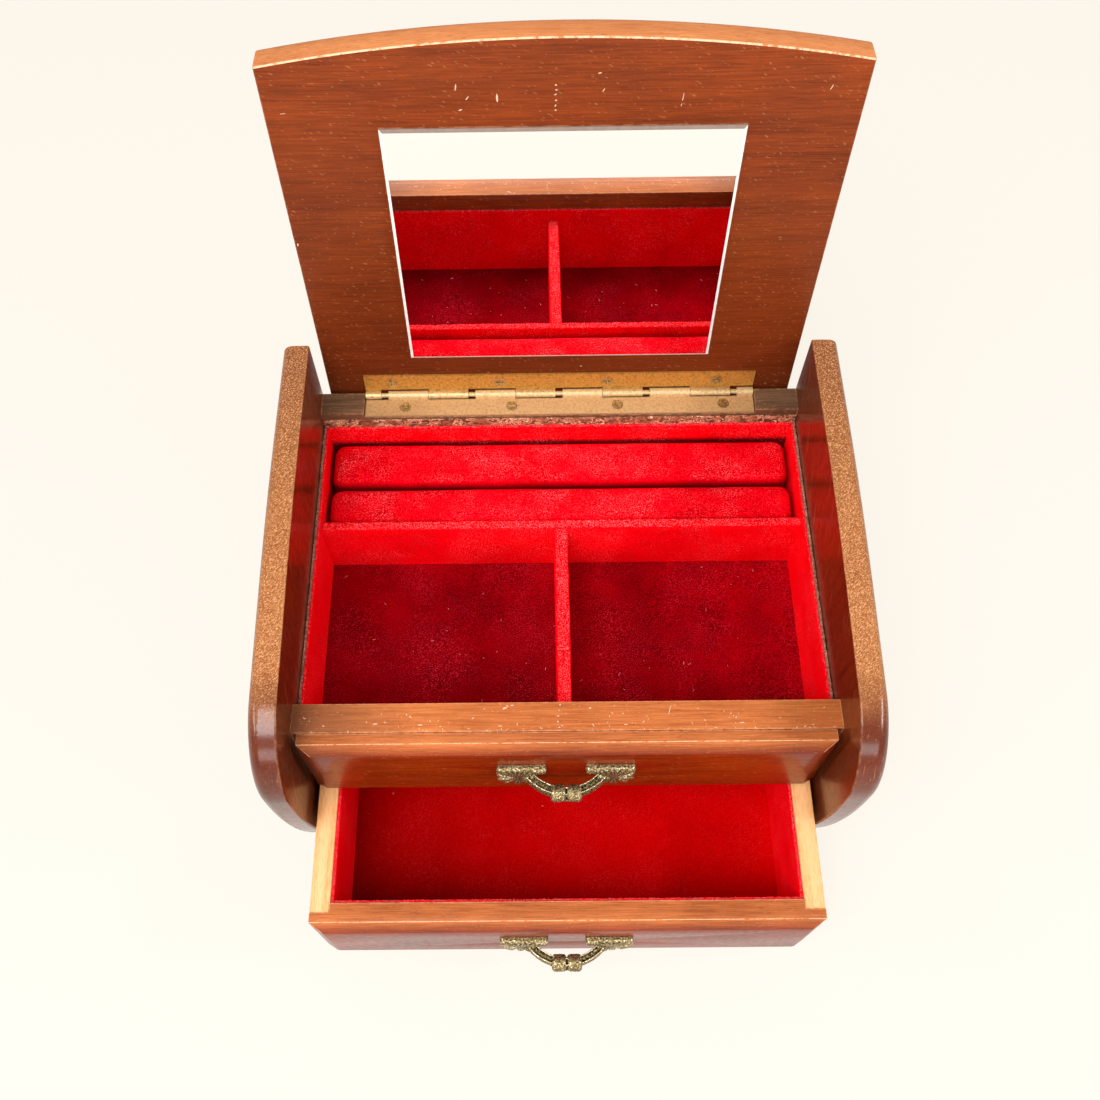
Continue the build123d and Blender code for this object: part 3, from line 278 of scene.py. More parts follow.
@finish
def mahogany(
    tree, axis, light, dark, top=None, wear=0.6, scratched=0.3, speckled=0.0, matt=0.4, coat=0.2,
    coat_roughness=0.1, painted_shade_heights=None, nose=None, dirty=None,
):
    """Mahogany-stained hardwood under worn lacquer: fine dark grain, rubbed pale edges, hairline scratches.

    top is the light and dark of the faces that look up, paler partly where hands have rubbed the stain and
    partly as painted light from above. Between two given heights the wood darkens downward as painted shade,
    nose is where along Y the worn top turns glossy, and dirty is where along X grime has gathered, all in
    millimetres.
    """
    # Bands of 6 mm, lines of 0.6 mm and pores of 0.4 mm, which is as fine as the render shows
    bands = pattern(tree, 6.0, GRAIN[axis], detail=4.0, distortion=0.4)
    lines = pattern(tree, 0.6, GRAIN[axis], roughness=0.65)
    pores = pattern(tree, 0.4, short_grain(axis), detail=1.0, roughness=0.4)
    clouds = pattern(tree, 45.0, detail=2.0)
    tone = add(tree, SCALED_SUM, lines, 0.5, add(tree, PRODUCT, bands, 0.22))
    tone = add(tree, SCALED_SUM, clouds, 0.28, tone)
    figure = add(tree, RANGE, tone, 0.38, 0.62)
    wood = add(tree, BLEND, figure, linear(dark), linear(light))
    up = facing_up(tree, 0.42, 0.62)
    if nose:
        behind_nose = add(tree, RANGE, place_along(tree, "Y"), *(place * MM for place in nose))
        up = add(tree, PRODUCT, up, behind_nose)
    # Faces that look up are paler: partly rubbed wear and partly painted light from above
    if top:
        lit_top_light, lit_top_dark = top
        pale = add(tree, BLEND, figure, linear(lit_top_dark), linear(lit_top_light))
        if nose:
            # The top's pale tone, partly painted light from above, turns darker towards the rear
            rear = add(tree, RANGE, place_along(tree, "Y"), 0.0, 80 * MM, 0.0, 0.75)
            pale = add(tree, BLEND, rear, pale, linear(lit_top_dark, 0.7))
        wood = add(tree, BLEND, up, wood, pale)
    if dirty:
        wander = add(tree, SCALED_SUM, clouds, 40 * MM, place_along(tree, "X"))
        grime = add(tree, RANGE, wander, *(place * MM for place in dirty), 0.75, 0.0)
        wood = add(tree, BLEND, grime, wood, linear(colours().grime))
    # Painted shade: the wood darkens towards the bottom
    if painted_shade_heights:
        shade = add(tree, RANGE, place_along(tree, "Z"), *(place * MM for place in painted_shade_heights), 0.75, 0.0)
        wood = add(tree, BLEND, shade, wood, linear(dark, 0.55))
    pore = add(tree, RANGE, pores, 0.37, 0.29, 0.0, 0.3)
    wood = add(tree, BLEND, pore, wood, linear(dark, 0.7))
    # Rubbed edges broken up by noise of 3 mm, chipped specks of 0.7 mm and hairline scratches
    rubbing = pattern(tree, 3.0, detail=4.0, roughness=0.65)
    edges = add(tree, PRODUCT, edge_mask(tree, 1.0 * MM), add(tree, RANGE, rubbing, 0.4, 0.6))
    chips = add(tree, RANGE, pattern(tree, 0.7, roughness=0.7), 0.76, 0.82)
    worn = add(tree, PRODUCT, add(tree, LARGER, edges, chips), wear)
    cuts = pattern(tree, 0.6, *SCRATCHES[axis], detail=1.0, roughness=0.3)
    worn = add(tree, LARGER, worn, add(tree, RANGE, cuts, 0.69, 0.76, 0.0, scratched))
    if speckled:
        # Dark and pale dashes where the top's lacquer has crazed
        dashes = pattern(tree, 0.45, (2.2, 1, 1), (0, 0, 0.75), detail=2.0, roughness=0.75)
        dark_dash = add(tree, PRODUCT, add(tree, RANGE, dashes, 0.47, 0.4, 0.0, speckled * 0.6), up)
        wood = add(tree, BLEND, dark_dash, wood, linear(light))
        pale_dash = add(tree, PRODUCT, add(tree, RANGE, dashes, 0.54, 0.6, 0.0, speckled), up)
        worn = add(tree, LARGER, worn, pale_dash)
    surface(
        tree,
        add(tree, BLEND, worn, wood, linear(colours().worn)),
        add(tree, RANGE, rubbing, 0.3, 0.7, matt - 0.06, matt + 0.1),
        relief=(lines, 0.08, 0.1),
        Specular_IOR_Level=0.15,
        Coat_Weight=add(tree, RANGE, add(tree, LARGER, up, worn), 0.0, 1.0, coat, 0.08),
        Coat_Roughness=coat_roughness,
    )


@finish
def worn_edge(tree, light, dark):
    """The arris of a lacquered board: rubbed to pale bare wood, with lacquer left in short lengths."""
    lengths = pattern(tree, 2.6, detail=4.0, roughness=0.7)
    colour = two_tone(tree, lengths, 0.38, 0.52, linear(dark), linear(light))
    surface(tree, colour, 0.5, Specular_IOR_Level=0.3)


@finish
def beech(tree, axis):
    """Bare planed beech: pale, even, with short darker flecks along the grain."""
    bands = pattern(tree, 4.0, GRAIN[axis], distortion=0.4)
    flecks = pattern(tree, 0.5, short_grain(axis), detail=2.0, roughness=0.5)
    tone = add(tree, SCALED_SUM, flecks, 0.5, add(tree, PRODUCT, bands, 0.5))
    dark, light = linear(colours().beech_dark), linear(colours().beech_light)
    surface(tree, two_tone(tree, tone, 0.36, 0.58, dark, light), 0.55, relief=(flecks, 0.15, 0.1))


@finish
def plywood(tree, colour):
    """Thin unfinished plywood: matt, with broad rotary-cut figure."""
    figure = pattern(tree, 11.0, (8, 1, 2), detail=4.0, roughness=0.6, distortion=1.2)
    surface(tree, two_tone(tree, figure, 0.35, 0.65, linear(colour, 0.5), linear(colour)), 0.75)


@finish
def velvet(tree, standing, hollow, dusty, patch=20.0, rim=0.0, crowned=False, brushed=None, dust=None):
    """Cut-pile velvet: deep in its hollows, with sheen at grazing angles and pale dust caught in the pile.

    dusty is how much dust there is and patch its scale in millimetres. rim is the dust on edges that look up,
    and crowned keeps it there. A fall of painted shade, given as a direction, its start and end in metres and
    the colour of the shade, darkens the velvet along that direction where walls or neighbouring parts shade
    it.
    """
    # Tufts of 0.5 mm, coarser than real pile, so that they show, and nap that wanders over 22 mm
    pile = pattern(tree, 0.5, detail=2.0, roughness=0.75)
    nap = pattern(tree, 22.0, roughness=0.6)
    tone = add(tree, SCALED_SUM, pile, 0.75, add(tree, PRODUCT, nap, 0.25))
    colour = two_tone(tree, tone, 0.4, 0.58, linear(hollow), linear(standing))
    # Painted shade: the velvet turns dark along a direction, where walls or neighbouring parts would shade it
    if brushed:
        direction, start, end, shaded = brushed
        way = add(tree, DOT, add(tree, COORDINATES, output="Object"), direction, output="Value")
        away = add(tree, RANGE, way, start, end, 0.0, 0.92)
        colour = add(tree, BLEND, away, colour, linear(shaded))
    patches = add(tree, RANGE, pattern(tree, patch, roughness=0.6), 0.42, 0.64, 0.15, 1.0)
    tufts = add(tree, RANGE, pattern(tree, 0.5, detail=2.0, roughness=0.8), 0.57, 0.63)
    caught = add(tree, PRODUCT, add(tree, PRODUCT, patches, tufts), dusty)
    upward = facing_up(tree, 0.6, 0.95)
    if crowned:
        caught = add(tree, PRODUCT, caught, upward)
    if rim:
        caught = add(tree, LARGER, caught, add(tree, PRODUCT, add(tree, PRODUCT, tufts, upward), rim))
    surface(
        tree,
        add(tree, BLEND, caught, colour, linear(dust or colours().velvet_dust)),
        0.95,
        relief=(pile, 0.6, 0.3),
        Specular_IOR_Level=0.0,
        Sheen_Weight=0.6,
        Sheen_Roughness=0.4,
        Sheen_Tint=linear(standing),
    )


@finish
def tarnished(tree, bright, dull, roughness, size):
    """A metal whose bright surface is broken by dull tarnish in spots of a size in millimetres."""
    spots = pattern(tree, size, detail=6.0, roughness=0.72)
    tarnish = add(tree, RANGE, spots, 0.44, 0.66)
    colour = add(tree, BLEND, tarnish, linear(bright), linear(dull))
    rough = add(tree, RANGE, tarnish, 0.0, 1.0, roughness, roughness + 0.2)
    surface(tree, colour, rough, relief=(spots, 0.2, 0.1), Metallic=1.0)


@finish
def hinge_brass(tree, leaf, patina, metallic):
    """Rolled hinge brass: a hazed, spotted leaf, and knuckles rubbed bright by the turning."""
    spots = pattern(tree, 1.3, detail=5.0, roughness=0.8)
    specks = add(tree, RANGE, pattern(tree, 0.5, detail=2.0, roughness=0.7), 0.58, 0.68, 0.0, 0.7)
    tarnish = add(tree, LARGER, add(tree, RANGE, spots, 0.46, 0.7), specks)
    hazed = add(tree, BLEND, tarnish, linear(leaf), linear(patina))
    bright = add(tree, BLEND, tarnish, linear(colours().knuckle), linear(patina))
    # The knuckles are what lies within their radius of the pin
    arm = add(tree, FROM_POINT, add(tree, COORDINATES, output="Object"), PIN)
    arm = add(tree, LENGTH, add(tree, SCALED, arm, (0, 1, 1)), output="Value")
    rolled = add(tree, RANGE, arm, 2.6 * MM, 2.2 * MM)
    colour = add(tree, BLEND, rolled, hazed, bright)
    rough = add(tree, RANGE, rolled, 0.0, 1.0, 0.55, 0.46)
    surface(tree, colour, rough, relief=(spots, 0.25, 0.12), Metallic=metallic)


@finish
def cast_brass(tree):
    """Antiqued cast brass: rubbed bright on the high spots, dark patina in the recesses."""
    c = colours()
    mottle = pattern(tree, 0.9, detail=4.0, roughness=0.8)
    height = add(tree, SCALED_SUM, mottle, 0.3, add(tree, GEOMETRY, output="Pointiness"))
    rubbed = add(tree, RANGE, height, 0.665, 0.715)
    colour = two_tone(tree, height, 0.605, 0.66, linear(c.cast_patina), linear(c.cast_middle))
    colour = add(tree, BLEND, rubbed, colour, linear(c.cast_brass))
    rough = add(tree, RANGE, rubbed, 0.0, 1.0, 0.5, 0.3)
    surface(tree, colour, rough, relief=(mottle, 0.35, 0.3), Metallic=0.85)


@finish
def silvered_glass(tree, silver, dust):
    """Silvered mirror glass: a clean reflection with faint dust."""
    specks = add(tree, RANGE, pattern(tree, 0.7, detail=2.0), 0.74, 0.8, 0.0, 0.2)
    surface(tree, add(tree, BLEND, specks, linear(silver), linear(dust)), 0.01, Metallic=1.0)


@finish
def painted_bevel_glass(tree, tint):
    """The mirror's bevel as a matt, even tint: the pale tint is a painted reflection of the floor as a thin
    line, the grey-brown one painted shade.
    """
    colour = two_tone(tree, pattern(tree, 2.5), 0.35, 0.6, linear(tint, 0.85), linear(tint))
    surface(tree, colour, 0.2, Coat_Weight=0.5, Coat_Roughness=0.03)


@finish
def card(tree, brown, pink):
    """Grey-brown card with a torn, fibrous edge."""
    fibres = pattern(tree, 1.0, detail=4.0, roughness=0.75)
    colour = two_tone(tree, fibres, 0.38, 0.56, linear(brown, 0.2), linear(brown))
    surface(tree, two_tone(tree, fibres, 0.58, 0.66, colour, linear(pink)), 0.95)


@finish
def torn_veneer(tree, dark, light, flake):
    """Wood where a glued strip was torn off: rough red-brown, with pale lifted flakes that curl."""
    rough = pattern(tree, 2.4, (1.6, 1, 1), roughness=0.6, distortion=1.5)
    base = two_tone(tree, rough, 0.38, 0.6, linear(dark), linear(light))
    # A flake's lifted rim follows one level of the noise, so it runs in curls 0.4 mm wide
    rim = add(tree, RANGE, add(tree, SIZE, add(tree, DIFFERENCE, rough, 0.52)), 0.03, 0.016)
    rim = add(tree, PRODUCT, rim, add(tree, RANGE, pattern(tree, 6.0, detail=2.0), 0.42, 0.52))
    surface(tree, add(tree, BLEND, rim, base, linear(flake)), 0.85, relief=(rough, 0.7, 0.8))


@finish
def plain_fibre(tree, colour):
    """Loose cotton fibre or bare wood fibre: matt, a little uneven."""
    surface(tree, two_tone(tree, pattern(tree, 3.0), 0.35, 0.65, linear(colour, 0.6), linear(colour)), 0.9)


def seen_by(tree, *kinds):
    """1 for rays of these kinds and 0 for others."""
    seen = add(tree, RAYS, output=f"Is {kinds[0]} Ray")
    for kind in kinds[1:]:
        seen = add(tree, LARGER, seen, add(tree, RAYS, output=f"Is {kind} Ray"))
    return seen


@finish
def pale_paper(tree, colour):
    """Pale seamless paper: the camera, mirror and metal see it glow, and it scatters a quieter light."""
    paper = add(tree, BLEND, seen_by(tree, "Diffuse"), linear(colour), linear(colour, 0.5))
    diffuse = surface(tree, paper, 1.0, Specular_IOR_Level=0.0)
    glow = add(tree, EMISSION, linear(colour), 0.97)
    share = add(tree, PRODUCT, seen_by(tree, "Camera", "Glossy", "Transmission"), 0.865)
    mixed = add(tree, SHADER_MIX, share, diffuse.outputs["BSDF"], glow)
    tree.links.new(mixed, tree.nodes["Material Output"].inputs["Surface"])


def wall_velvet():
    c = colours()
    return velvet("red velvet", c.velvet, c.velvet_deep, 0.35, rim=0.75)


def shaded_velvet():
    """The back wall's velvet, with painted shade where it goes down behind the ring rolls."""
    c = colours()
    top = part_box("ring_roll_rear")[1].z
    shade_fall = ((0, 0, -1), -(top - 0.5 * MM), -(top - 3.5 * MM), "#200002")
    return velvet("red velvet behind the rolls", c.velvet, c.velvet_deep, 0.35, rim=0.75, brushed=shade_fall)


def tray_velvet():
    """The tray floor's velvet, with painted shade that darkens it towards the front left corner."""
    c = colours()
    low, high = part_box("tray_lining_floor")
    way = Vector((-0.5, -1.0, 0))
    bright, shaded = way.dot(Vector((0, high.y, 0))), way.dot(Vector((low.x, low.y, 0)))
    shade_fall = (tuple(way), bright, shaded + 90 * MM, "#4A0004")
    name, dust = "dusty floor velvet", "#EC3C54"
    return velvet(name, c.floor_velvet, c.floor_velvet_deep, 0.55, patch=32.0, brushed=shade_fall, dust=dust)


def drawer_velvet():
    """The drawer floor's velvet: clean, with painted shade that makes its front left corner the darkest."""
    way = Vector((-0.42, -1.0, 0))
    light_end = way.dot(Vector((90 * MM, -78 * MM, 0)))
    dark_end = way.dot(Vector((-95 * MM, -132 * MM, 0)))
    shade_fall = (tuple(way), light_end, dark_end, colours().brushed)
    return velvet("clean brushed velvet", "#DC0206", "#C00000", 0.06, brushed=shade_fall)


def roll_velvet():
    """The ring rolls' velvet: dusty on top, with painted shade where it goes down between them."""
    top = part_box("ring_roll_rear")[1].z
    shade_fall = ((0, 0, -1), -(top - 1.2 * MM), -(top - 5.5 * MM), "#2A0002")
    return velvet("dusty roll velvet", "#FF0018", "#B80008", 0.75, patch=16.0, crowned=True, brushed=shade_fall)


def paint(material, *names):
    """Gives CAD nodes a material."""
    for name in names:
        mesh = NODES[name].data
        mesh.materials.clear()
        mesh.materials.append(material)


# Mesh helpers


def deselect():
    """Leaves edit mode and selects nothing."""
    if bpy.context.object and bpy.context.object.mode != "OBJECT":
        bpy.ops.object.mode_set(mode="OBJECT")
    bpy.ops.object.select_all(action="DESELECT")


def choose(*pieces):
    """Selects pieces, with the first one active."""
    deselect()
    bpy.context.view_layer.objects.active = pieces[0]
    for piece in pieces:
        piece.select_set(True)


def start_from(name, operator, **placing):
    """Adds a primitive by its operator, names it and leaves its place in its mesh."""
    deselect()
    operator(**placing)
    piece = bpy.context.object
    piece.name = name
    bpy.ops.object.transform_apply(location=True, rotation=True, scale=True)
    return piece


def start_box(name, low, high):
    centre = (Vector(low) + Vector(high)) / 2
    size = Vector(high) - Vector(low)
    return start_from(name, bpy.ops.mesh.primitive_cube_add, size=1, location=centre, scale=size)


def new_object(name, data):
    """Puts data in the scene as an object of its own."""
    thing = bpy.data.objects.new(name, data)
    bpy.context.scene.collection.objects.link(thing)
    return thing


def edit(piece):
    choose(piece)
    bpy.ops.object.mode_set(mode="EDIT")
    bpy.ops.mesh.select_all(action="DESELECT")
    return bmesh.from_edit_mesh(piece.data)


def middle(edge):
    return (edge.verts[0].co + edge.verts[1].co) / 2


def bevel_edges(piece, test, offset, segments):
    """Rounds the edges that pass the test."""
    mesh = edit(piece)
    bpy.ops.mesh.select_mode(type="EDGE")
    for edge in mesh.edges:
        edge.select_set(test(edge))
    bmesh.update_edit_mesh(piece.data)
    bpy.ops.mesh.bevel(offset=offset, segments=segments, affect="EDGES")


def slice_evenly(axis, low, high, count):
    """Cuts the piece in edit mode into a count of slices between two places along an axis."""
    normal = Vector((0, 0, 0))
    normal[axis] = 1.0
    for i in range(1, count):
        bpy.ops.mesh.select_all(action="SELECT")
        bpy.ops.mesh.bisect(plane_co=normal * (low + (high - low) * i / count), plane_no=normal)


def move_vertices(piece, mover):
    """Moves every vertex in edit mode by a function of its place and normal."""
    mesh = bmesh.from_edit_mesh(piece.data)
    mesh.normal_update()
    moved = [(vertex, mover(vertex)) for vertex in mesh.verts]
    for vertex, offset in moved:
        vertex.co += offset
    bmesh.update_edit_mesh(piece.data)


def close_up():
    """Joins coinciding points in edit mode and turns the faces outwards."""
    bpy.ops.mesh.select_all(action="SELECT")
    bpy.ops.mesh.remove_doubles(threshold=0.01 * MM)
    bpy.ops.mesh.normals_make_consistent(inside=False)


def dress(piece, material, others):
    """Gives a piece its material. Each of others is a material and a test for its faces."""
    piece.data.materials.clear()
    for entry in (material, *(other[0] for other in others)):
        piece.data.materials.append(entry)
    for polygon in piece.data.polygons:
        polygon.material_index = next((i for i, other in enumerate(others, 1) if other[1](polygon)), 0)


def done(piece, material, body, *replaced, slot=None, smooth=35, others=()):
    """Shades and dresses a piece, and ties it to its body."""
    choose(piece)
    bpy.ops.object.shade_smooth_by_angle(angle=radians(smooth))
    dress(piece, material, others)
    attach(piece, body)
    if replaced:
        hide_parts(*replaced)


def apply_modifier(piece, kind, **settings):
    """Adds a modifier with its settings and applies it."""
    choose(piece)
    modifier = piece.modifiers.new(kind.title(), kind)
    for key, value in settings.items():
        setattr(modifier, key, value)
    bpy.ops.object.modifier_apply(modifier=modifier.name)


def joined(name, pieces):
    choose(*pieces)
    bpy.ops.object.join()
    pieces[0].name = name
    return pieces[0]


# Wood


def eased_copy(name, body, material, slot, arris):
    """A board from the frame with its razor edges sanded round and worn to another material."""
    piece = new_object(f"{name}_sanded", NODES[name].data.copy())
    edit(piece)
    bpy.ops.mesh.select_all(action="SELECT")
    bpy.ops.mesh.remove_doubles(threshold=0.002 * MM)
    bpy.ops.mesh.dissolve_limited(angle_limit=radians(0.5))
    deselect()
    # The bevel gives its new faces the second material
    dress(piece, material, [(arris, lambda polygon: False)])
    apply_modifier(
        piece,
        "BEVEL",
        material=1,
        width=sizes().board_edge,
        segments=2,
        limit_method="ANGLE",
        angle_limit=radians(25),
        use_clamp_overlap=True,
    )
    sanded = {polygon.index for polygon in piece.data.polygons if polygon.material_index == 1}
    done(piece, material, body, name, slot=slot, others=[(arris, lambda polygon: polygon.index in sanded)])


class JEWELRYBOX_OT_wood(bpy.types.Operator):
    """Sands the boards' edges and lacquers or oils the wood"""

    bl_idname = "jewelry_box.wood"
    bl_label = "Wood"

    def execute(self, context):
        c = colours()
        # The pale top colours given here are partly wear and partly painted light from above
        walls = mahogany(
            "lacquered mahogany wall", "X", c.lid_light, c.lid_dark, (c.lit_top_light, c.lit_top_dark), 0.9, 0.35,
            matt=0.45, dirty=(-100, -40),
        )
        fronts = mahogany(
            "polished mahogany front", "X", c.front_light, c.front_dark, ("#CA7440", "#964E28"), 0.7, 0.2,
            matt=0.34, coat=0.3, dirty=(-120, -75),
        )
        rail = mahogany("soiled mahogany rail", "X", c.rail_light, c.rail_dark, matt=0.6)
        panels = mahogany(
            "lacquered mahogany side", "Z", c.panel_light, c.panel_dark, ("#B87A48", "#8E5630"), 0.7, 0.26,
            speckled=0.85, matt=0.34, coat=0.7, coat_roughness=0.17, nose=(-80, -56),
        )
        bare = plywood("rotary-cut plywood", c.plywood)
        pale = beech("planed beech", "Y")
        pale_across = beech("planed beech across", "X")
        rubbed = worn_edge("rubbed mahogany arris", "#F0B488", "#B46430")
        sanded = worn_edge("sanded beech arris", c.beech_light, c.beech_dark)
        paint(panels, "side_panel_left", "side_panel_right")
        paint(rail, "rear_rail")
        paint(bare, "tray_floor_board", "bay_partition")
        for kind in ("corner_block", "drawer_guide", "drawer_stop"):
            paint(pale, f"{kind}_left", f"{kind}_right")
        for name, body, material, slot, arris in (
            ("front_wall", "case", walls, "mahogany", rubbed),
            ("false_drawer_front", "case", fronts, "mahogany", rubbed),
            ("base_board", "case", walls, "mahogany", rubbed),
            ("back_panel", "case", bare, "plywood", sanded),
            ("drawer_front", "drawer", fronts, "mahogany", rubbed),
            ("drawer_side_left", "drawer", pale, "drawer_wood", sanded),
            ("drawer_side_right", "drawer", pale, "drawer_wood", sanded),
            ("drawer_back", "drawer", pale_across, "drawer_wood", sanded),
            ("drawer_bottom", "drawer", bare, "plywood", sanded),
        ):
            eased_copy(name, body, material, slot, arris)
        return {"FINISHED"}


# Lid and mirror

# Wider than the lid's rounding, so that the rounding has no folds at the corners
LID_SLICES = 36
# The mirror stands proud of the lid's inner face and is sunk behind it, and its bevel is ground down
MIRROR_PROUD = 1.2 * MM
MIRROR_SUNK = 1.8 * MM
MIRROR_GROUND = 0.6 * MM


def bow_rise(x):
    """Height of the lid's bowed edge over its corners."""
    s = sizes()
    half = s.lid_width / 2
    radius = (half**2 + s.lid_bow**2) / (2 * s.lid_bow)
    return s.lid_bow - radius + (radius**2 - min(abs(x), half) ** 2) ** 0.5


class JEWELRYBOX_OT_lid(bpy.types.Operator):
    """Shapes the bowed lid with its rounded outer edge, and the pocket for the mirror"""

    bl_idname = "jewelry_box.lid"
    bl_label = "Lid"

    def execute(self, context):
        s = sizes()
        c = colours()
        half = s.lid_width / 2
        inner, outer = s.lid_face, s.lid_face + s.lid_thickness
        lid = start_box("lid_board", (-half, inner, -s.lid_overhang), (half, outer, s.lid_side))
        edit(lid)
        slice_evenly(0, -half, half, LID_SLICES)
        move_vertices(lid, lambda v: Vector((0, 0, bow_rise(v.co.x) if v.co.z > s.lid_side / 2 else 0)))
        # The rear edge stays square, so that it closes the gap over the rail
        for face, width, segments in ((outer, s.lid_rounding, 5), (inner, s.lid_arris, 2)):
            bevel_edges(
                lid,
                lambda e: abs(middle(e).y - face) < TINY and middle(e).z > 0 and e.calc_face_angle(0) > 1.0,
                width,
                segments,
            )
        pocket = start_box(
            "mirror_pocket",
            (-s.mirror_half, inner - 2 * MM, s.mirror_low),
            (s.mirror_half, inner + MIRROR_SUNK, s.mirror_high),
        )
        apply_modifier(lid, "BOOLEAN", operation="DIFFERENCE", object=pocket, solver="EXACT")
        bpy.data.objects.remove(pocket)
        lid.data.transform(LID_FRAME)
        # The lid's faces that look up are paler, partly wear and partly painted light, and the lid darkens
        # towards the hinge as painted shade
        wood = mahogany(
            "lacquered mahogany lid", "X", c.lid_light, c.lid_dark, ("#E09058", "#BE7040"), 0.5, 0.2,
            matt=0.5, coat=0.08, painted_shade_heights=(100, 300),
        )
        arris = worn_edge("rubbed lid arris", "#F6C8A0", "#C87E4C")
        out = LID_FRAME.to_3x3() @ Vector((0, -1, 0))
        on_arris = (arris, lambda p: 0.25 < p.normal.dot(out) < 0.97 and p.area < 1e-4 and p.normal.z > 0.2)
        done(lid, wood, "lid", "lid_panel", slot="mahogany", others=[on_arris])
        return {"FINISHED"}


class JEWELRYBOX_OT_mirror(bpy.types.Operator):
    """Grinds the mirror's bevel and silvers its face"""

    bl_idname = "jewelry_box.mirror"
    bl_label = "Mirror"

    def execute(self, context):
        s = sizes()
        front, back = s.lid_face - MIRROR_PROUD, s.lid_face + MIRROR_SUNK
        mirror = start_box(
            "bevelled_mirror", (-s.mirror_half, front, s.mirror_low), (s.mirror_half, back, s.mirror_high)
        )
        mesh = edit(mirror)
        bpy.ops.mesh.select_mode(type="FACE")
        for face in mesh.faces:
            face.select_set(face.normal.y < -0.9)
        bmesh.update_edit_mesh(mirror.data)
        bpy.ops.mesh.inset(thickness=s.mirror_bevel)
        centre = (s.mirror_low + s.mirror_high) / 2
        half_width = s.mirror_half - s.mirror_bevel / 2
        half_height = (s.mirror_high - s.mirror_low - s.mirror_bevel) / 2

        def lower_rim(vertex):
            outside = abs(vertex.co.x) > half_width or abs(vertex.co.z - centre) > half_height
            return Vector((0, MIRROR_GROUND if outside and vertex.co.y < front + TINY else 0, 0))

        move_vertices(mirror, lower_rim)
        # The bevel's facets get flat tints: pale ones as a painted reflection of the floor, and a grey-brown
        # upper one as painted shade
        others = (
            (painted_bevel_glass("shaded mirror bevel", "#8A7468"), lambda p: p.normal.z > 0.05),
            (painted_bevel_glass("ground mirror bevel", "#F4EFEA"), lambda p: p.normal.y > -0.999),
        )
        glass = silvered_glass("silvered mirror glass", "#FBFCFA", "#B8B2A8")
        done(mirror, glass, "lid", "mirror", slot="mirror", smooth=5, others=others)
        mirror.data.transform(LID_FRAME)
        return {"FINISHED"}


# Wear

# Chips and rubbed spots, from side to side and up the lid from the pin: x, z, length, width, turn in degrees
LID_MARKS = (
    (-38.4, 155.7, 2.6, 0.5, 80),
    (-37.3, 147.0, 1.5, 0.6, 20),
    (-34.5, 151.7, 1.6, 0.5, 50),
    (-23.8, 151.6, 3.6, 0.9, 95),
    (-2.7, 156.3, 0.9, 0.6, 0),
    (-2.5, 154.4, 0.8, 0.6, 0),
    (-2.9, 152.6, 1.1, 0.6, 30),
    (-2.6, 150.4, 0.9, 0.7, 0),
    (-2.8, 148.3, 1.0, 0.5, 60),
    (-2.7, 146.5, 0.8, 0.5, 0),
    (12.7, 160.6, 1.3, 0.5, 10),
    (14.4, 154.1, 1.6, 0.4, 60),
    (43.0, 151.0, 3.2, 0.35, 85),
    (42.7, 147.9, 1.2, 0.35, 80),
    (-102.0, 146.5, 2.4, 0.35, 4),
    (95.5, 154.0, 2.2, 0.4, 70),
    (10.1, 15.9, 1.2, 0.4, 0),
    (-107.6, 87.5, 1.6, 0.7, 80),
)
# On the front wall's top: x, y, length, width, turn
WALL_MARKS = (
    (-24.9, -62.2, 2.2, 0.7, 20),
    (-22.0, -61.0, 1.4, 0.5, 10),
    (-37.9, -66.4, 1.3, 0.5, 40),
    (-2.4, -61.0, 0.8, 0.6, 0),
    (-2.8, -63.4, 0.9, 0.5, 0),
    (-3.1, -65.8, 0.8, 0.5, 0),
    (-3.4, -68.2, 0.9, 0.6, 0),
    (9.8, -62.5, 1.2, 0.5, 30),
    (42.2, -63.6, 4.2, 0.35, 72),
    (-26.9, -69.9, 1.6, 0.6, 0),
    (-77.6, -68.6, 2.6, 0.5, 5),
    (-59.3, -69.2, 1.8, 0.5, 0),
    (71.0, -69.4, 2.4, 0.5, 3),
    (24.0, -69.8, 2.0, 0.4, 0),
)
SMALL_SCUFFS = 90
# The torn strip lies on the rail's front face and keeps off its edges
STRIP_THICKNESS = 0.7 * MM
STRIP_INSET = 0.4 * MM


def on_face(marks, point):
    """Marks with their lengths in metres. point gives the place of a mark from its two coordinates."""
    return [(point(a * MM, b * MM), long * MM, wide * MM, radians(turn)) for a, b, long, wide, turn in marks]


def flakes(name, marks, turned, seed):
    """Thin chips on a face. A mark is its middle, length, width and turn. turned takes Z to the normal."""
    random = Random(seed)
    pieces = []
    for place, length, width, turn in marks:
        size = (length, width, 1)
        chip = start_from(
            name, bpy.ops.mesh.primitive_cylinder_add, vertices=7, radius=0.5, depth=0.07 * MM, scale=size
        )
        edit(chip)
        move_vertices(chip, lambda v: Vector((v.co.x, v.co.y, 0)) * random.uniform(-0.35, 0.25))
        deselect()
        chip.data.transform(Matrix.Translation(place) @ turned @ Matrix.Rotation(turn, 4, "Z"))
        pieces.append(chip)
    return joined(name, pieces)


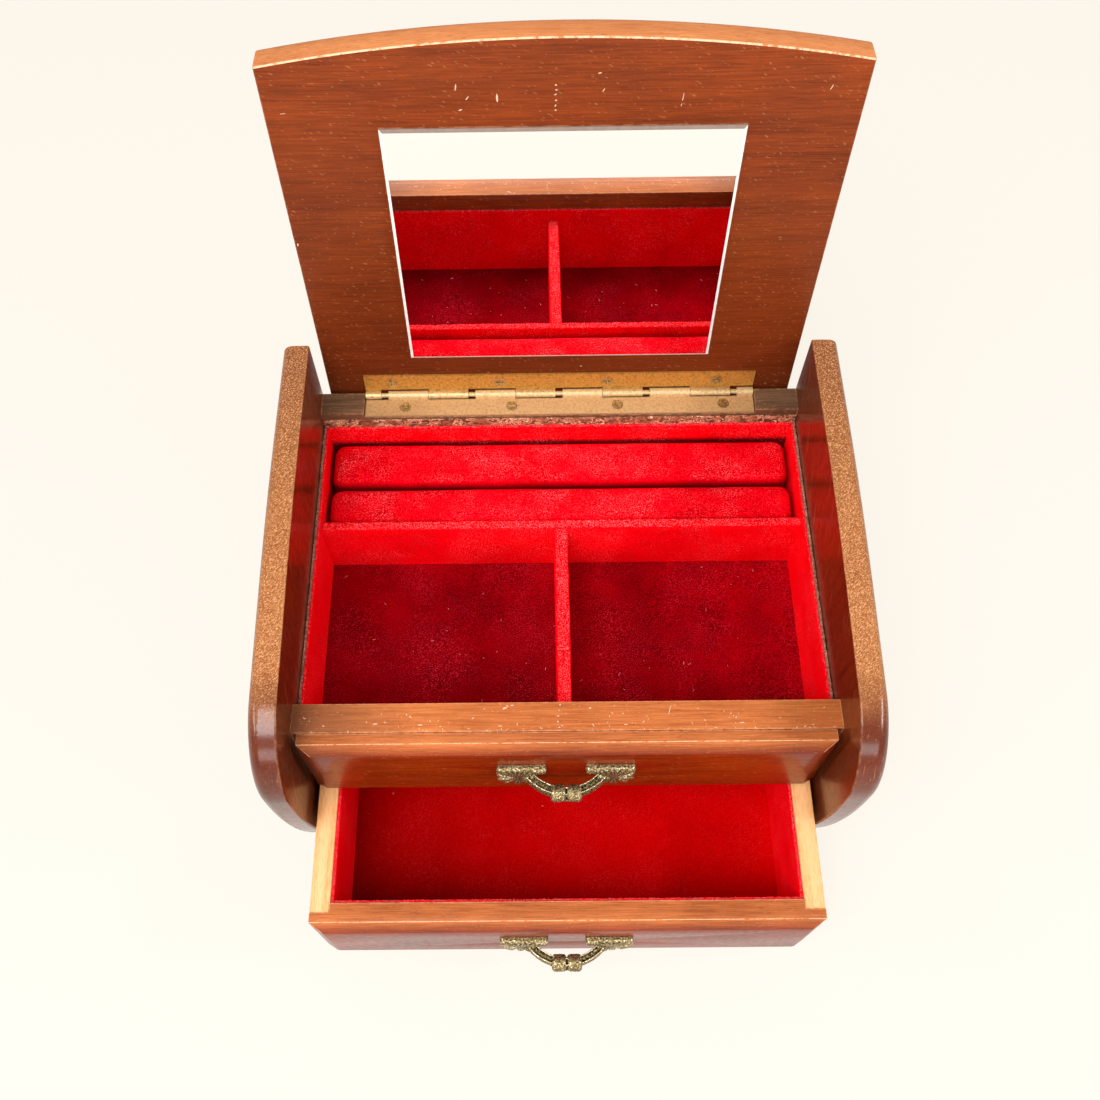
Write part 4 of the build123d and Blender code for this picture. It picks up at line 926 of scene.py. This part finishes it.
class JEWELRYBOX_OT_marks(bpy.types.Operator):
    """Chips the lacquer of the lid and the front wall, and tears the rail's front face"""

    bl_idname = "jewelry_box.marks"
    bl_label = "Marks"

    def execute(self, context):
        bare = plain_fibre("chipped bare wood", "#F4C4A0")
        spots = on_face(LID_MARKS, lambda x, z: (x, sizes().lid_face, z))
        chips = flakes("lid_chips", spots, Matrix.Rotation(radians(90), 4, "X"), 5)
        chips.data.transform(LID_FRAME)
        done(chips, bare, "lid", slot="mahogany")
        low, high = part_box("front_wall")
        spots = on_face(WALL_MARKS, lambda x, y: (x, y, high.z))
        random = Random(21)
        for _ in range(SMALL_SCUFFS):
            # Most of the small scuffs lie along the front arris
            back = (high.y - low.y) * random.random() ** 2.5
            place = (random.uniform(low.x, high.x) * 0.97, low.y + 0.5 * MM + back * 0.9, high.z)
            size = (random.uniform(0.35, 1.3) * MM, random.uniform(0.2, 0.45) * MM)
            spots.append((place, *size, random.uniform(0, pi)))
        done(flakes("wall_chips", spots, Matrix(), 6), bare, "case", slot="mahogany")
        # The rough strip between the velvet and the hinge
        low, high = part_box("rear_rail")
        left, right = low.x + STRIP_INSET, high.x - STRIP_INSET
        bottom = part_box("tray_lining_back")[1].z - STRIP_INSET
        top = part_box("hinge_leaf_lower")[0].z - STRIP_INSET
        strip = start_box(
            "torn_strip", (left, low.y - STRIP_THICKNESS, bottom), (right, low.y + 0.1 * MM, top)
        )
        edit(strip)
        slice_evenly(0, left, right, 200)
        slice_evenly(2, bottom, top, 8)

        def tear(vertex):
            if vertex.co.y > low.y:
                return Vector((0, 0, 0))
            depth = noise(vertex.co * 330) * 0.5 * MM
            lift = noise(vertex.co * 260 + Vector((3, 0, 0))) * 0.6 * MM
            return Vector((0, min(depth, 0.5 * MM), min(lift, 0.3 * MM)))

        move_vertices(strip, tear)
        veneer = torn_veneer("torn mahogany veneer", "#5A2410", "#A8603C", "#F6BE98")
        done(strip, veneer, "case", slot="mahogany", smooth=20)
        return {"FINISHED"}


# Metal


class JEWELRYBOX_OT_metal(bpy.types.Operator):
    """Gives the hinge, the screws and the musical movement their metals"""

    bl_idname = "jewelry_box.metal"
    bl_label = "Metal"

    def execute(self, context):
        c = colours()
        paint(hinge_brass("spotted hinge brass", c.brass, c.brass_patina, 0.75), "hinge_leaf_upper")
        # Paler and less metallic: partly hazed lacquer, partly a painted reflection of the light above the
        # leaf
        hazed = hinge_brass("hazed hinge brass", c.hazed_lit_brass, "#A8804E", 0.45)
        paint(hazed, "hinge_leaf_lower", "hinge_pin")
        screws = tarnished("plated screw steel", "#D4BC8C", "#5E4A34", 0.35, 1.0)
        paint(screws, "hinge_screws_lower", "hinge_screws_upper", "upper_pull_screws", "lower_pull_screws")
        paint(screws, "back_panel_screws", "movement_screws", "comb_screws")
        steel = tarnished("ground spring steel", "#C8CACD", "#9A9C9F", 0.25, 2.0)
        paint(steel, "music_comb", "mainspring", "winding_arbor", "stop_rod")
        paint(tarnished("die-cast zinc", "#B8BABD", "#8C8E92", 0.42, 2.5), "movement_bedplate")
        brass = tarnished("turned brass", "#E3C27A", "#C9A35C", 0.2, 2.0)
        paint(brass, "pinned_cylinder", "cylinder_axle_and_gears", "governor_wheel", "governor_fan")
        paint(brass, "spring_barrel", "winding_key")
        return {"FINISHED"}


# Velvet


def velvet_wall(name, low, high, body, node, lengthwise, material):
    """A velvet-covered wall: rounded upper rims and a slightly uneven pile."""
    s = sizes()
    piece = start_box(name, low, high)
    rim = min(s.velvet_rim, 0.42 * (high[1 - lengthwise] - low[1 - lengthwise]))
    bevel_edges(piece, lambda e: abs(middle(e).z - high.z) < TINY, rim, 3)
    # Slices of 3 mm along the wall and 4 mm up it
    columns = int((high - low)[lengthwise] / (3 * MM))
    slice_evenly(lengthwise, low[lengthwise], high[lengthwise], columns)
    slice_evenly(2, low.z, high.z - rim, max(2, int((high.z - low.z) / (4 * MM))))

    def swell(vertex):
        off_floor = min(1.0, (vertex.co.z - low.z) / (6 * MM))
        bulge = noise(vertex.co * 140) * s.velvet_wave * off_floor
        return vertex.normal * min(bulge, 0.3 * s.velvet_wave)

    move_vertices(piece, swell)
    done(piece, material, body, node, slot="velvet", smooth=60)


def velvet_floor(name, node, body, material):
    """A velvet sheet glued to a floor, a little uneven."""
    low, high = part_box(node)
    piece = start_box(name, low, high)
    edit(piece)
    bpy.ops.mesh.select_all(action="SELECT")
    bpy.ops.mesh.subdivide(number_cuts=47)

    def settle(vertex):
        top = vertex.co.z > high.z - TINY
        return Vector((0, 0, noise(vertex.co * 60) * 0.25 * MM - 0.1 * MM if top else 0))

    move_vertices(piece, settle)
    done(piece, material, body, node, slot="velvet_floor", smooth=60)


def rim_run(low, high, lengthwise, width):
    """The line along a wall's top, with the width over which its fibres stand."""
    start = (low + high) / 2
    end = start.copy()
    start[lengthwise], end[lengthwise] = low[lengthwise], high[lengthwise]
    start.z = end.z = high.z
    return start, end, width


def loose_mesh(name, corners, faces):
    """Hundreds of tiny fibres as one mesh."""
    data = bpy.data.meshes.new(name)
    data.from_pydata(corners, [], faces)
    return new_object(name, data)


def rim_fibres(name, runs, body, seed):
    """Loose fibres of pile that stand up along runs, each from one point to another with a width."""
    s = sizes()
    random = Random(seed)
    corners = []
    faces = []
    for start, end, width in runs:
        along = end - start
        across = along.cross(Vector((0, 0, 1))).normalized()
        for _ in range(int(along.length / s.fibre_spacing)):
            foot = start + along * random.random() + across * width * (random.random() - 0.5)
            tip = Vector((random.gauss(0, 0.7), random.gauss(0, 0.7), 0.8)).normalized()
            tip = foot + tip * s.fibre_length * random.uniform(0.3, 1.0)
            turn = random.uniform(0, 2 * pi)
            first = len(corners)
            for k in range(3):
                angle = turn + k * 2 * pi / 3
                reach = Vector((cos(angle), sin(angle), 0)) * s.fibre_width / 2
                corners.append(foot + reach - Vector((0, 0, 0.2 * MM)))
            corners.append(tip)
            faces += [(first + k, first + (k + 1) % 3, first + 3) for k in range(3)]
            faces.append((first + 2, first + 1, first))
    pile = plain_fibre("frayed velvet pile", "#FF9CA0")
    done(loose_mesh(name, corners, faces), pile, body, slot="velvet")


class JEWELRYBOX_OT_tray_linings(bpy.types.Operator):
    """Lines the tray: velvet walls on card, a velvet floor and the card's torn upper edge"""

    bl_idname = "jewelry_box.tray_linings"
    bl_label = "Tray linings"

    def execute(self, context):
        s = sizes()
        runs = []
        backing = s.panel_gap + s.card_thickness
        for side, sign in (("left", -1), ("right", 1)):
            low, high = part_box(f"tray_lining_{side}")
            # Card stands a little above the velvet, between it and the side panel
            outer = (low if sign < 0 else high).x - sign * s.panel_gap
            xs = sorted((outer, outer - sign * s.card_thickness))
            strip = start_box(f"card_edge_{side}", (xs[0], low.y, high.z - 3 * MM), (xs[1], high.y, high.z))
            edit(strip)
            slice_evenly(1, low.y, high.y, 150)

            def tear(vertex):
                if vertex.co.z < high.z - 1 * MM:
                    return Vector((0, 0, 0))
                ragged = noise(vertex.co * 420) * 0.6 * MM + 0.2 * MM
                return Vector((noise(vertex.co * 300 + Vector((5, 0, 0))) * 0.2 * MM, 0, ragged))

            move_vertices(strip, tear)
            done(strip, card("torn card", colours().card, "#E8B09C"), "case", slot="velvet")
            if sign < 0:
                low.x += backing
            else:
                high.x -= backing
            outward = Vector((sign * 0.8 * MM, 0, 0))
            runs.append(rim_run(low + outward, high + outward, 1, 3.0 * MM))
            velvet_wall(f"velvet_wall_{side}", low, high, "case", f"tray_lining_{side}", 1, wall_velvet())
        for side, pile in (("back", shaded_velvet()), ("front", wall_velvet())):
            low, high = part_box(f"tray_lining_{side}")
            runs.append(rim_run(low, high, 0, 1.9 * MM))
            velvet_wall(f"velvet_wall_{side}", low, high, "case", f"tray_lining_{side}", 0, pile)
        velvet_floor("velvet_tray_floor", "tray_lining_floor", "case", tray_velvet())
        rim_fibres("tray_rim_fibres", runs, "case", 11)
        return {"FINISHED"}


class JEWELRYBOX_OT_dividers(bpy.types.Operator):
    """Sets the velvet dividers across and along the tray"""

    bl_idname = "jewelry_box.dividers"
    bl_label = "Dividers"

    def execute(self, context):
        runs = []
        for name, lengthwise, width in (("cross_divider", 0, 3.6), ("middle_divider", 1, 4.0)):
            low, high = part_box(name)
            velvet_wall(f"velvet_{name}", low, high, "case", name, lengthwise, wall_velvet())
            runs.append(rim_run(low, high, lengthwise, width * MM))
        rim_fibres("divider_rim_fibres", runs, "case", 12)
        return {"FINISHED"}


class JEWELRYBOX_OT_drawer_linings(bpy.types.Operator):
    """Lines the drawer with velvet"""

    bl_idname = "jewelry_box.drawer_linings"
    bl_label = "Drawer linings"

    def execute(self, context):
        runs = []
        for side, lengthwise in (("left", 1), ("right", 1), ("front", 0), ("rear", 0)):
            node = f"drawer_lining_{side}"
            low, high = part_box(node)
            velvet_wall(f"velvet_drawer_{side}", low, high, "drawer", node, lengthwise, wall_velvet())
            runs.append(rim_run(low, high, lengthwise, 1.2 * MM))
        velvet_floor("velvet_drawer_floor", "drawer_lining_floor", "drawer", drawer_velvet())
        rim_fibres("drawer_rim_fibres", runs, "drawer", 13)
        return {"FINISHED"}


class JEWELRYBOX_OT_ring_rolls(bpy.types.Operator):
    """Lays the two velvet ring rolls side by side behind the cross divider"""

    bl_idname = "jewelry_box.ring_rolls"
    bl_label = "Ring rolls"

    def execute(self, context):
        pile = roll_velvet()
        # The rear roll crowds the front one, so their facing sides lie about 2 mm further forward
        for name, seed, low_shift, high_shift in (("rear", 3.0, 2.1 * MM, 0), ("front", 8.0, 0, 2.2 * MM)):
            node = f"ring_roll_{name}"
            low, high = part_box(node)
            low.y -= low_shift
            high.y -= high_shift
            piece = start_box(f"velvet_roll_{name}", low, high)
            # Foam wrapped in velvet: a flat crowned top, round shoulders and ends tucked in
            bevel_edges(piece, lambda e: middle(e).z > low.z + TINY, sizes().roll_shoulder, 6)
            apply_modifier(piece, "REMESH", mode="VOXEL", voxel_size=1.1 * MM)
            centre = (low + high) / 2
            edit(piece)

            def plump(vertex):
                across = (vertex.co.y - centre.y) / (high.y - centre.y)
                height = (vertex.co.z - low.z) / (high.z - low.z)
                top = max(0.0, (height - 0.6) / 0.4)
                crown = (-0.5 * across**2 - 0.1) * MM * top
                wave = noise(Vector((vertex.co.x * 18, seed, 0))) * 0.55 * MM * top
                swell = noise(vertex.co * 90 + Vector((0, seed, 0))) * 0.3 * MM * top
                foot = -0.06 * (1 - top) * (vertex.co.y - centre.y)
                return Vector((0, wave + foot, crown + min(swell, 0.15 * MM)))

            move_vertices(piece, plump)
            apply_modifier(piece, "SMOOTH", factor=0.5, iterations=3)
            done(piece, pile, "case", node, slot="velvet", smooth=60)
        return {"FINISHED"}


def lint(name, span, body, seed, count):
    """Curled threads of pale lint that lie on the velvet, scattered between two corners of a box."""
    random = Random(seed)
    corners = []
    faces = []
    joints = 5
    for _ in range(count):
        place = Vector([random.uniform(a, b) for a, b in zip(*span)])
        heading = random.uniform(0, 2 * pi)
        curl = random.uniform(-1.8, 1.8)
        length = random.uniform(0.5, 2.4) * MM
        width = random.uniform(0.08, 0.15) * MM
        first = len(corners)
        for _ in range(joints):
            side = Vector((-sin(heading), cos(heading), 0)) * width / 2
            corners += [place + side, place - side, place + Vector((0, 0, width))]
            heading += curl / joints
            place = place + Vector((cos(heading), sin(heading), 0)) * length / joints
        for k in range(joints - 1):
            a = first + 3 * k
            for m in range(3):
                faces.append((a + m, a + (m + 1) % 3, a + 3 + (m + 1) % 3, a + 3 + m))
        last = first + 3 * (joints - 1)
        faces.append((first + 2, first + 1, first))
        faces.append((last, last + 1, last + 2))
    pale = plain_fibre("pale lint", "#F6E4E0")
    done(loose_mesh(name, corners, faces), pale, body, slot="velvet")


class JEWELRYBOX_OT_lint(bpy.types.Operator):
    """Scatters a little lint over the velvet"""

    bl_idname = "jewelry_box.lint"
    bl_label = "Lint"

    def execute(self, context):
        count = sizes().lint_count
        for name, node, body, rear, number in (
            ("tray_lint", "tray_lining_floor", "case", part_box("cross_divider")[0].y, count),
            ("drawer_lint", "drawer_lining_floor", "drawer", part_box("drawer_lining_floor")[1].y, count // 5),
        ):
            low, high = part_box(node)
            z = high.z + 0.05 * MM
            span = ((low.x + 4 * MM, low.y + 3 * MM, z), (high.x - 4 * MM, rear - 3 * MM, z))
            lint(name, span, body, len(name), number)
        return {"FINISHED"}


# Pulls

# A pull's right plate about its own middle, in millimetres: a straight top, six lobes and the notches between
LEAF = (
    (9.4, 9.9), (10.2, 7.2), (8.7, 5.0), (10.3, 2.4), (8.4, 0.2), (10.2, -3.2),
    (7.6, -4.4), (7.4, -8.4), (4.0, -6.6), (1.2, -10.1), (-1.4, -7.0), (-4.6, -6.6),
    (-4.4, -2.6), (-5.2, 1.5), (-5.6, 5.0), (-6.0, 9.9),
)
LEAF_CENTRE = Vector((1.2, 1.2))
LEAF_NOTCHES = (2, 4, 6, 8, 10, 12)
# The strap's section in millimetres, up and outward: rimmed hollows above and below, and a round front
STRAP = (
    (3.1, 1.7), (3.05, 1.25), (1.6, 0.9), (1.6, -0.9), (3.05, -1.25), (3.1, -1.7), (0.0, -1.85),
    (-3.1, -1.7), (-3.05, -1.25), (-1.6, -0.9), (-1.6, 0.9), (-3.05, 1.25), (-3.1, 1.7),
    (-1.5, 2.1), (1.5, 2.1),
)
# Places are from the pull's middle and heights from its centre line
LEAF_PLACE = 19.0 * MM
NIB_PLACE = (8.1 * MM, 14.5 * MM)
NIB_HEIGHT = (5.4 * MM, 9.9 * MM)
NIB_DEPTH = 3.2 * MM
NIB_ROUNDING = 1.5 * MM
STRAP_HEIGHT = 0.6 * MM
STRAP_END_DEPTH = 2.0 * MM
ROOT_PLACE = 15.6 * MM
ROOT_DEPTH = 2.2 * MM
ROOT_RADII = (3.4 * MM, 2.6 * MM, 3.6 * MM)
BEAD_PLACE = 3.35 * MM
BEAD_LENGTH = 6.4 * MM
BEAD_ROUNDING = 1.5 * MM
STUD_RADIUS = 1.1 * MM
STUD_OUT = 2.1 * MM
STUD_DROP = 0.8 * MM


def leaf_reach(angle):
    """Distance from the leaf's centre to its outline in a direction, in millimetres."""
    way = Vector((cos(angle), sin(angle)))
    for first, second in zip(LEAF, LEAF[1:] + LEAF[:1]):
        a, b = Vector(first) - LEAF_CENTRE, Vector(second) - LEAF_CENTRE
        span = b - a
        bottom = way.x * span.y - way.y * span.x
        if abs(bottom) < 1e-9:
            continue
        reach = (a.x * span.y - a.y * span.x) / bottom
        share = (a.x * way.y - a.y * way.x) / bottom
        if reach > 0 and -1e-9 <= share <= 1 + 1e-9:
            return reach
    raise ValueError("The leaf's outline doesn't go round its centre")


def leaf_plate(name, face_y, place, side):
    """A cast leaf on the wall at place (x, z): grooves run from its centre to the notches of its lobes."""
    piece = start_from(name, bpy.ops.mesh.primitive_uv_sphere_add, segments=120, ring_count=32, radius=1.0)
    grooves = [atan2(*reversed(Vector(LEAF[i]) - LEAF_CENTRE)) for i in LEAF_NOTCHES]
    edit(piece)

    def shape(vertex):
        x, y, z = vertex.co
        share = min(1.0, (x * x + y * y) ** 0.5)
        angle = atan2(y, x)
        spot = LEAF_CENTRE + Vector((cos(angle), sin(angle))) * leaf_reach(angle) * share
        height = 0.0
        if z >= -TINY:
            dome = (1 - share**6) ** 0.5
            turns = [abs((angle - g + pi) % (2 * pi) - pi) for g in grooves]
            groove = sum(exp(-((t / 0.1) ** 2)) for t in turns)
            fine = 0.25 * cos(22 * angle) * share
            height = 1.5 + (1.6 - 1.5 * groove * share**0.6 + fine) * dome
        moved = Vector((place[0] + side * spot.x * MM, face_y - height * MM, place[1] + spot.y * MM))
        return moved - vertex.co

    move_vertices(piece, shape)
    close_up()
    return piece


def strap_ring(name, face_y, strap_z):
    """The strap: its section spun about an upright axis behind the beads."""
    depth = sizes().strap_reach - STRAP_END_DEPTH
    radius = (ROOT_PLACE**2 + depth**2) / (2 * depth)
    hub = Vector((0, face_y - sizes().strap_reach + radius, strap_z))
    sweep = 2 * atan2(ROOT_PLACE, radius - depth)
    start_angle = -pi / 2 - sweep / 2
    strap = start_from(
        name, bpy.ops.mesh.primitive_circle_add, vertices=len(STRAP), radius=1.0, fill_type="NGON"
    )
    mesh = edit(strap)
    mesh.verts.ensure_lookup_table()
    direction = Vector((cos(start_angle), sin(start_angle), 0))
    for vertex, (up, out) in zip(mesh.verts, STRAP):
        vertex.co = hub + direction * (radius + out * MM) + Vector((0, 0, up * MM))
    bmesh.update_edit_mesh(strap.data)
    bpy.ops.mesh.select_all(action="SELECT")
    bpy.ops.mesh.spin(steps=56, angle=-sweep, center=hub, axis=(0, 0, 1), use_normal_flip=False)
    close_up()
    return strap


def pull(name, node, body, material):
    """A cast pull: a leaf plate at each end, a rimmed strap between them, and two beads at its middle."""
    s = sizes()
    low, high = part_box(node)
    face_y = high.y
    centre_z = (low.z + high.z) / 2
    strap_z = centre_z + STRAP_HEIGHT
    pieces = []
    for side in (-1, 1):
        pieces.append(leaf_plate(f"{name}_leaf", face_y, (side * LEAF_PLACE, centre_z), side))
        # A rounded nib that points to the middle from the leaf's upper inner corner
        xs = sorted(side * place for place in NIB_PLACE)
        bottom, top = (centre_z + height for height in NIB_HEIGHT)
        nib = start_box(f"{name}_nib", (xs[0], face_y - NIB_DEPTH, bottom), (xs[1], face_y, top))
        bevel_edges(nib, lambda e: middle(e).y < face_y - TINY, NIB_ROUNDING, 4)
        pieces.append(nib)
        # The strap's root, which swells out of the leaf
        pieces.append(
            start_from(
                f"{name}_root",
                bpy.ops.mesh.primitive_uv_sphere_add,
                segments=24,
                ring_count=12,
                radius=1.0,
                location=(side * ROOT_PLACE, face_y - ROOT_DEPTH, strap_z),
                scale=ROOT_RADII,
            )
        )
    pieces.append(strap_ring(f"{name}_strap", face_y, strap_z))
    for side in (-1, 1):
        bead = start_from(
            f"{name}_bead",
            bpy.ops.mesh.primitive_cylinder_add,
            vertices=40,
            radius=s.bead_radius,
            depth=BEAD_LENGTH,
            rotation=(0, pi / 2, 0),
            location=(side * BEAD_PLACE, face_y - s.strap_reach, strap_z),
        )
        bevel_edges(bead, lambda e: abs(abs(middle(e).x) - BEAD_PLACE) > 3.1 * MM, BEAD_ROUNDING, 5)
        pieces.append(bead)
    pieces.append(
        start_from(
            f"{name}_stud",
            bpy.ops.mesh.primitive_uv_sphere_add,
            segments=20,
            ring_count=12,
            radius=STUD_RADIUS,
            location=(0, face_y - s.strap_reach - STUD_OUT, strap_z - STUD_DROP),
        )
    )
    whole = joined(name, pieces)
    apply_modifier(whole, "REMESH", mode="VOXEL", voxel_size=0.24 * MM, use_smooth_shade=True)

    def cast(vertex):
        # Casting grain of 0.8 mm
        grain = noise(vertex.co * 1250) * 0.17 * MM
        return vertex.normal * (grain if vertex.co.y < face_y - 0.3 * MM else 0.0)

    edit(whole)
    move_vertices(whole, cast)
    apply_modifier(whole, "SMOOTH", factor=0.4, iterations=1)
    done(whole, material, body, node, slot="cast_brass", smooth=80)


class JEWELRYBOX_OT_pulls(bpy.types.Operator):
    """Casts the two leafed pulls"""

    bl_idname = "jewelry_box.pulls"
    bl_label = "Pulls"

    def execute(self, context):
        brass = cast_brass("antiqued cast brass")
        pull("cast_pull_upper", "upper_pull", "case", brass)
        pull("cast_pull_lower", "lower_pull", "drawer", brass)
        return {"FINISHED"}


# Stage

CAMERA_PLACE = Vector((-10.85, -226.85, 535.44)) * MM
CAMERA_YAW = -0.921
CAMERA_PITCH = 63.263
CAMERA_ROLL = 1.416
FOCAL_PIXELS = 1095.547
PHOTO_PIXELS = 1100
AXIS_PIXEL = (530.418, 608.001)
SENSOR = 36.0


def add_camera():
    """The photograph's own view: its place, its turn and its off-centre axis."""
    yaw, pitch, roll = radians(CAMERA_YAW), radians(CAMERA_PITCH), radians(CAMERA_ROLL)
    forward = Vector((sin(yaw) * cos(pitch), cos(yaw) * cos(pitch), -sin(pitch)))
    level = Vector((cos(yaw), -sin(yaw), 0))
    down = forward.cross(level)
    right = cos(roll) * level + sin(roll) * down
    lower = -sin(roll) * level + cos(roll) * down
    data = bpy.data.cameras.new("camera")
    data.sensor_width = SENSOR
    data.lens = SENSOR * FOCAL_PIXELS / PHOTO_PIXELS
    data.shift_x = (PHOTO_PIXELS / 2 - AXIS_PIXEL[0]) / PHOTO_PIXELS
    data.shift_y = (AXIS_PIXEL[1] - PHOTO_PIXELS / 2) / PHOTO_PIXELS
    data.clip_start = 0.01
    camera = new_object("camera", data)
    turn = Matrix((right, -lower, -forward)).transposed()
    camera.matrix_world = Matrix.Translation(CAMERA_PLACE) @ turn.to_4x4()
    bpy.context.scene.camera = camera


def add_lamp(name, place, height, size, power):
    """A soft rectangular lamp that points at a height over the middle. Size is its width and height."""
    data = bpy.data.lights.new(name, "AREA")
    data.shape = "RECTANGLE"
    data.size, data.size_y = size
    data.energy = power
    lamp = new_object(name, data)
    lamp.location = place
    lamp.rotation_euler = (Vector((0, 0, height)) - Vector(place)).to_track_quat("-Z", "Y").to_euler()


class JEWELRYBOX_OT_stage(bpy.types.Operator):
    """Sets the pale floor, the soft lamps and the camera"""

    bl_idname = "jewelry_box.stage"
    bl_label = "Stage"

    def execute(self, context):
        backdrop = colours().backdrop
        floor = start_from("floor", bpy.ops.mesh.primitive_plane_add, size=12)
        floor.data.materials.append(pale_paper("pale floor", backdrop))

        world = bpy.data.worlds.new("soft room")
        context.scene.world = world
        world.use_nodes = True
        tree = world.node_tree
        background = tree.nodes["Background"]
        background.inputs["Color"].default_value = linear(backdrop)
        # The camera sees it at the tone of the far floor, so that no horizon shows
        strength = add(tree, RANGE, seen_by(tree, "Camera", "Transmission"), 0.0, 1.0, 0.46, 0.93)
        tree.links.new(strength, background.inputs["Strength"])

        add_lamp("key_lamp", (-0.42, -0.62, 1.3), 0.08, (0.7, 0.7), 14.5)
        add_lamp("right_lamp", (0.9, -0.3, 0.75), 0.1, (0.6, 0.14), 6.0)
        add_lamp("left_lamp", (-0.9, -0.3, 0.75), 0.1, (0.6, 0.14), 3.5)
        add_lamp("front_lamp", (0, -1.1, 0.55), 0.08, (1.2, 0.3), 5.0)
        add_camera()
        context.scene.view_settings.view_transform = "Standard"
        return {"FINISHED"}


OPERATORS = (
    JEWELRYBOX_OT_wood,
    JEWELRYBOX_OT_lid,
    JEWELRYBOX_OT_mirror,
    JEWELRYBOX_OT_marks,
    JEWELRYBOX_OT_metal,
    JEWELRYBOX_OT_tray_linings,
    JEWELRYBOX_OT_dividers,
    JEWELRYBOX_OT_ring_rolls,
    JEWELRYBOX_OT_drawer_linings,
    JEWELRYBOX_OT_pulls,
    JEWELRYBOX_OT_lint,
    JEWELRYBOX_OT_stage,
)


class JEWELRYBOX_PT_panel(bpy.types.Panel):
    """Lists the steps that dress the jewelry box, and its sizes and colours"""

    bl_idname = "JEWELRYBOX_PT_panel"
    bl_label = "Jewelry Box"
    bl_space_type = "VIEW_3D"
    bl_region_type = "UI"
    bl_category = "Jewelry Box"

    def draw(self, context):
        for operator in OPERATORS:
            self.layout.operator(operator.bl_idname)
        for group in (context.scene.jewelry_box_sizes, context.scene.jewelry_box_colours):
            for name in group.__annotations__:
                self.layout.prop(group, name)


CLASSES = (JewelryBoxSizes, JewelryBoxColours, *OPERATORS, JEWELRYBOX_PT_panel)


def register():
    for cls in CLASSES:
        bpy.utils.register_class(cls)
    bpy.types.Scene.jewelry_box_sizes = PointerProperty(type=JewelryBoxSizes)
    bpy.types.Scene.jewelry_box_colours = PointerProperty(type=JewelryBoxColours)


def unregister():
    del bpy.types.Scene.jewelry_box_colours
    del bpy.types.Scene.jewelry_box_sizes
    for cls in reversed(CLASSES):
        bpy.utils.unregister_class(cls)


def main():
    register()
    for operator in OPERATORS:
        family, step = operator.bl_idname.split(".")
        getattr(getattr(bpy.ops, family), step)()


if __name__ == "__main__":
    main()
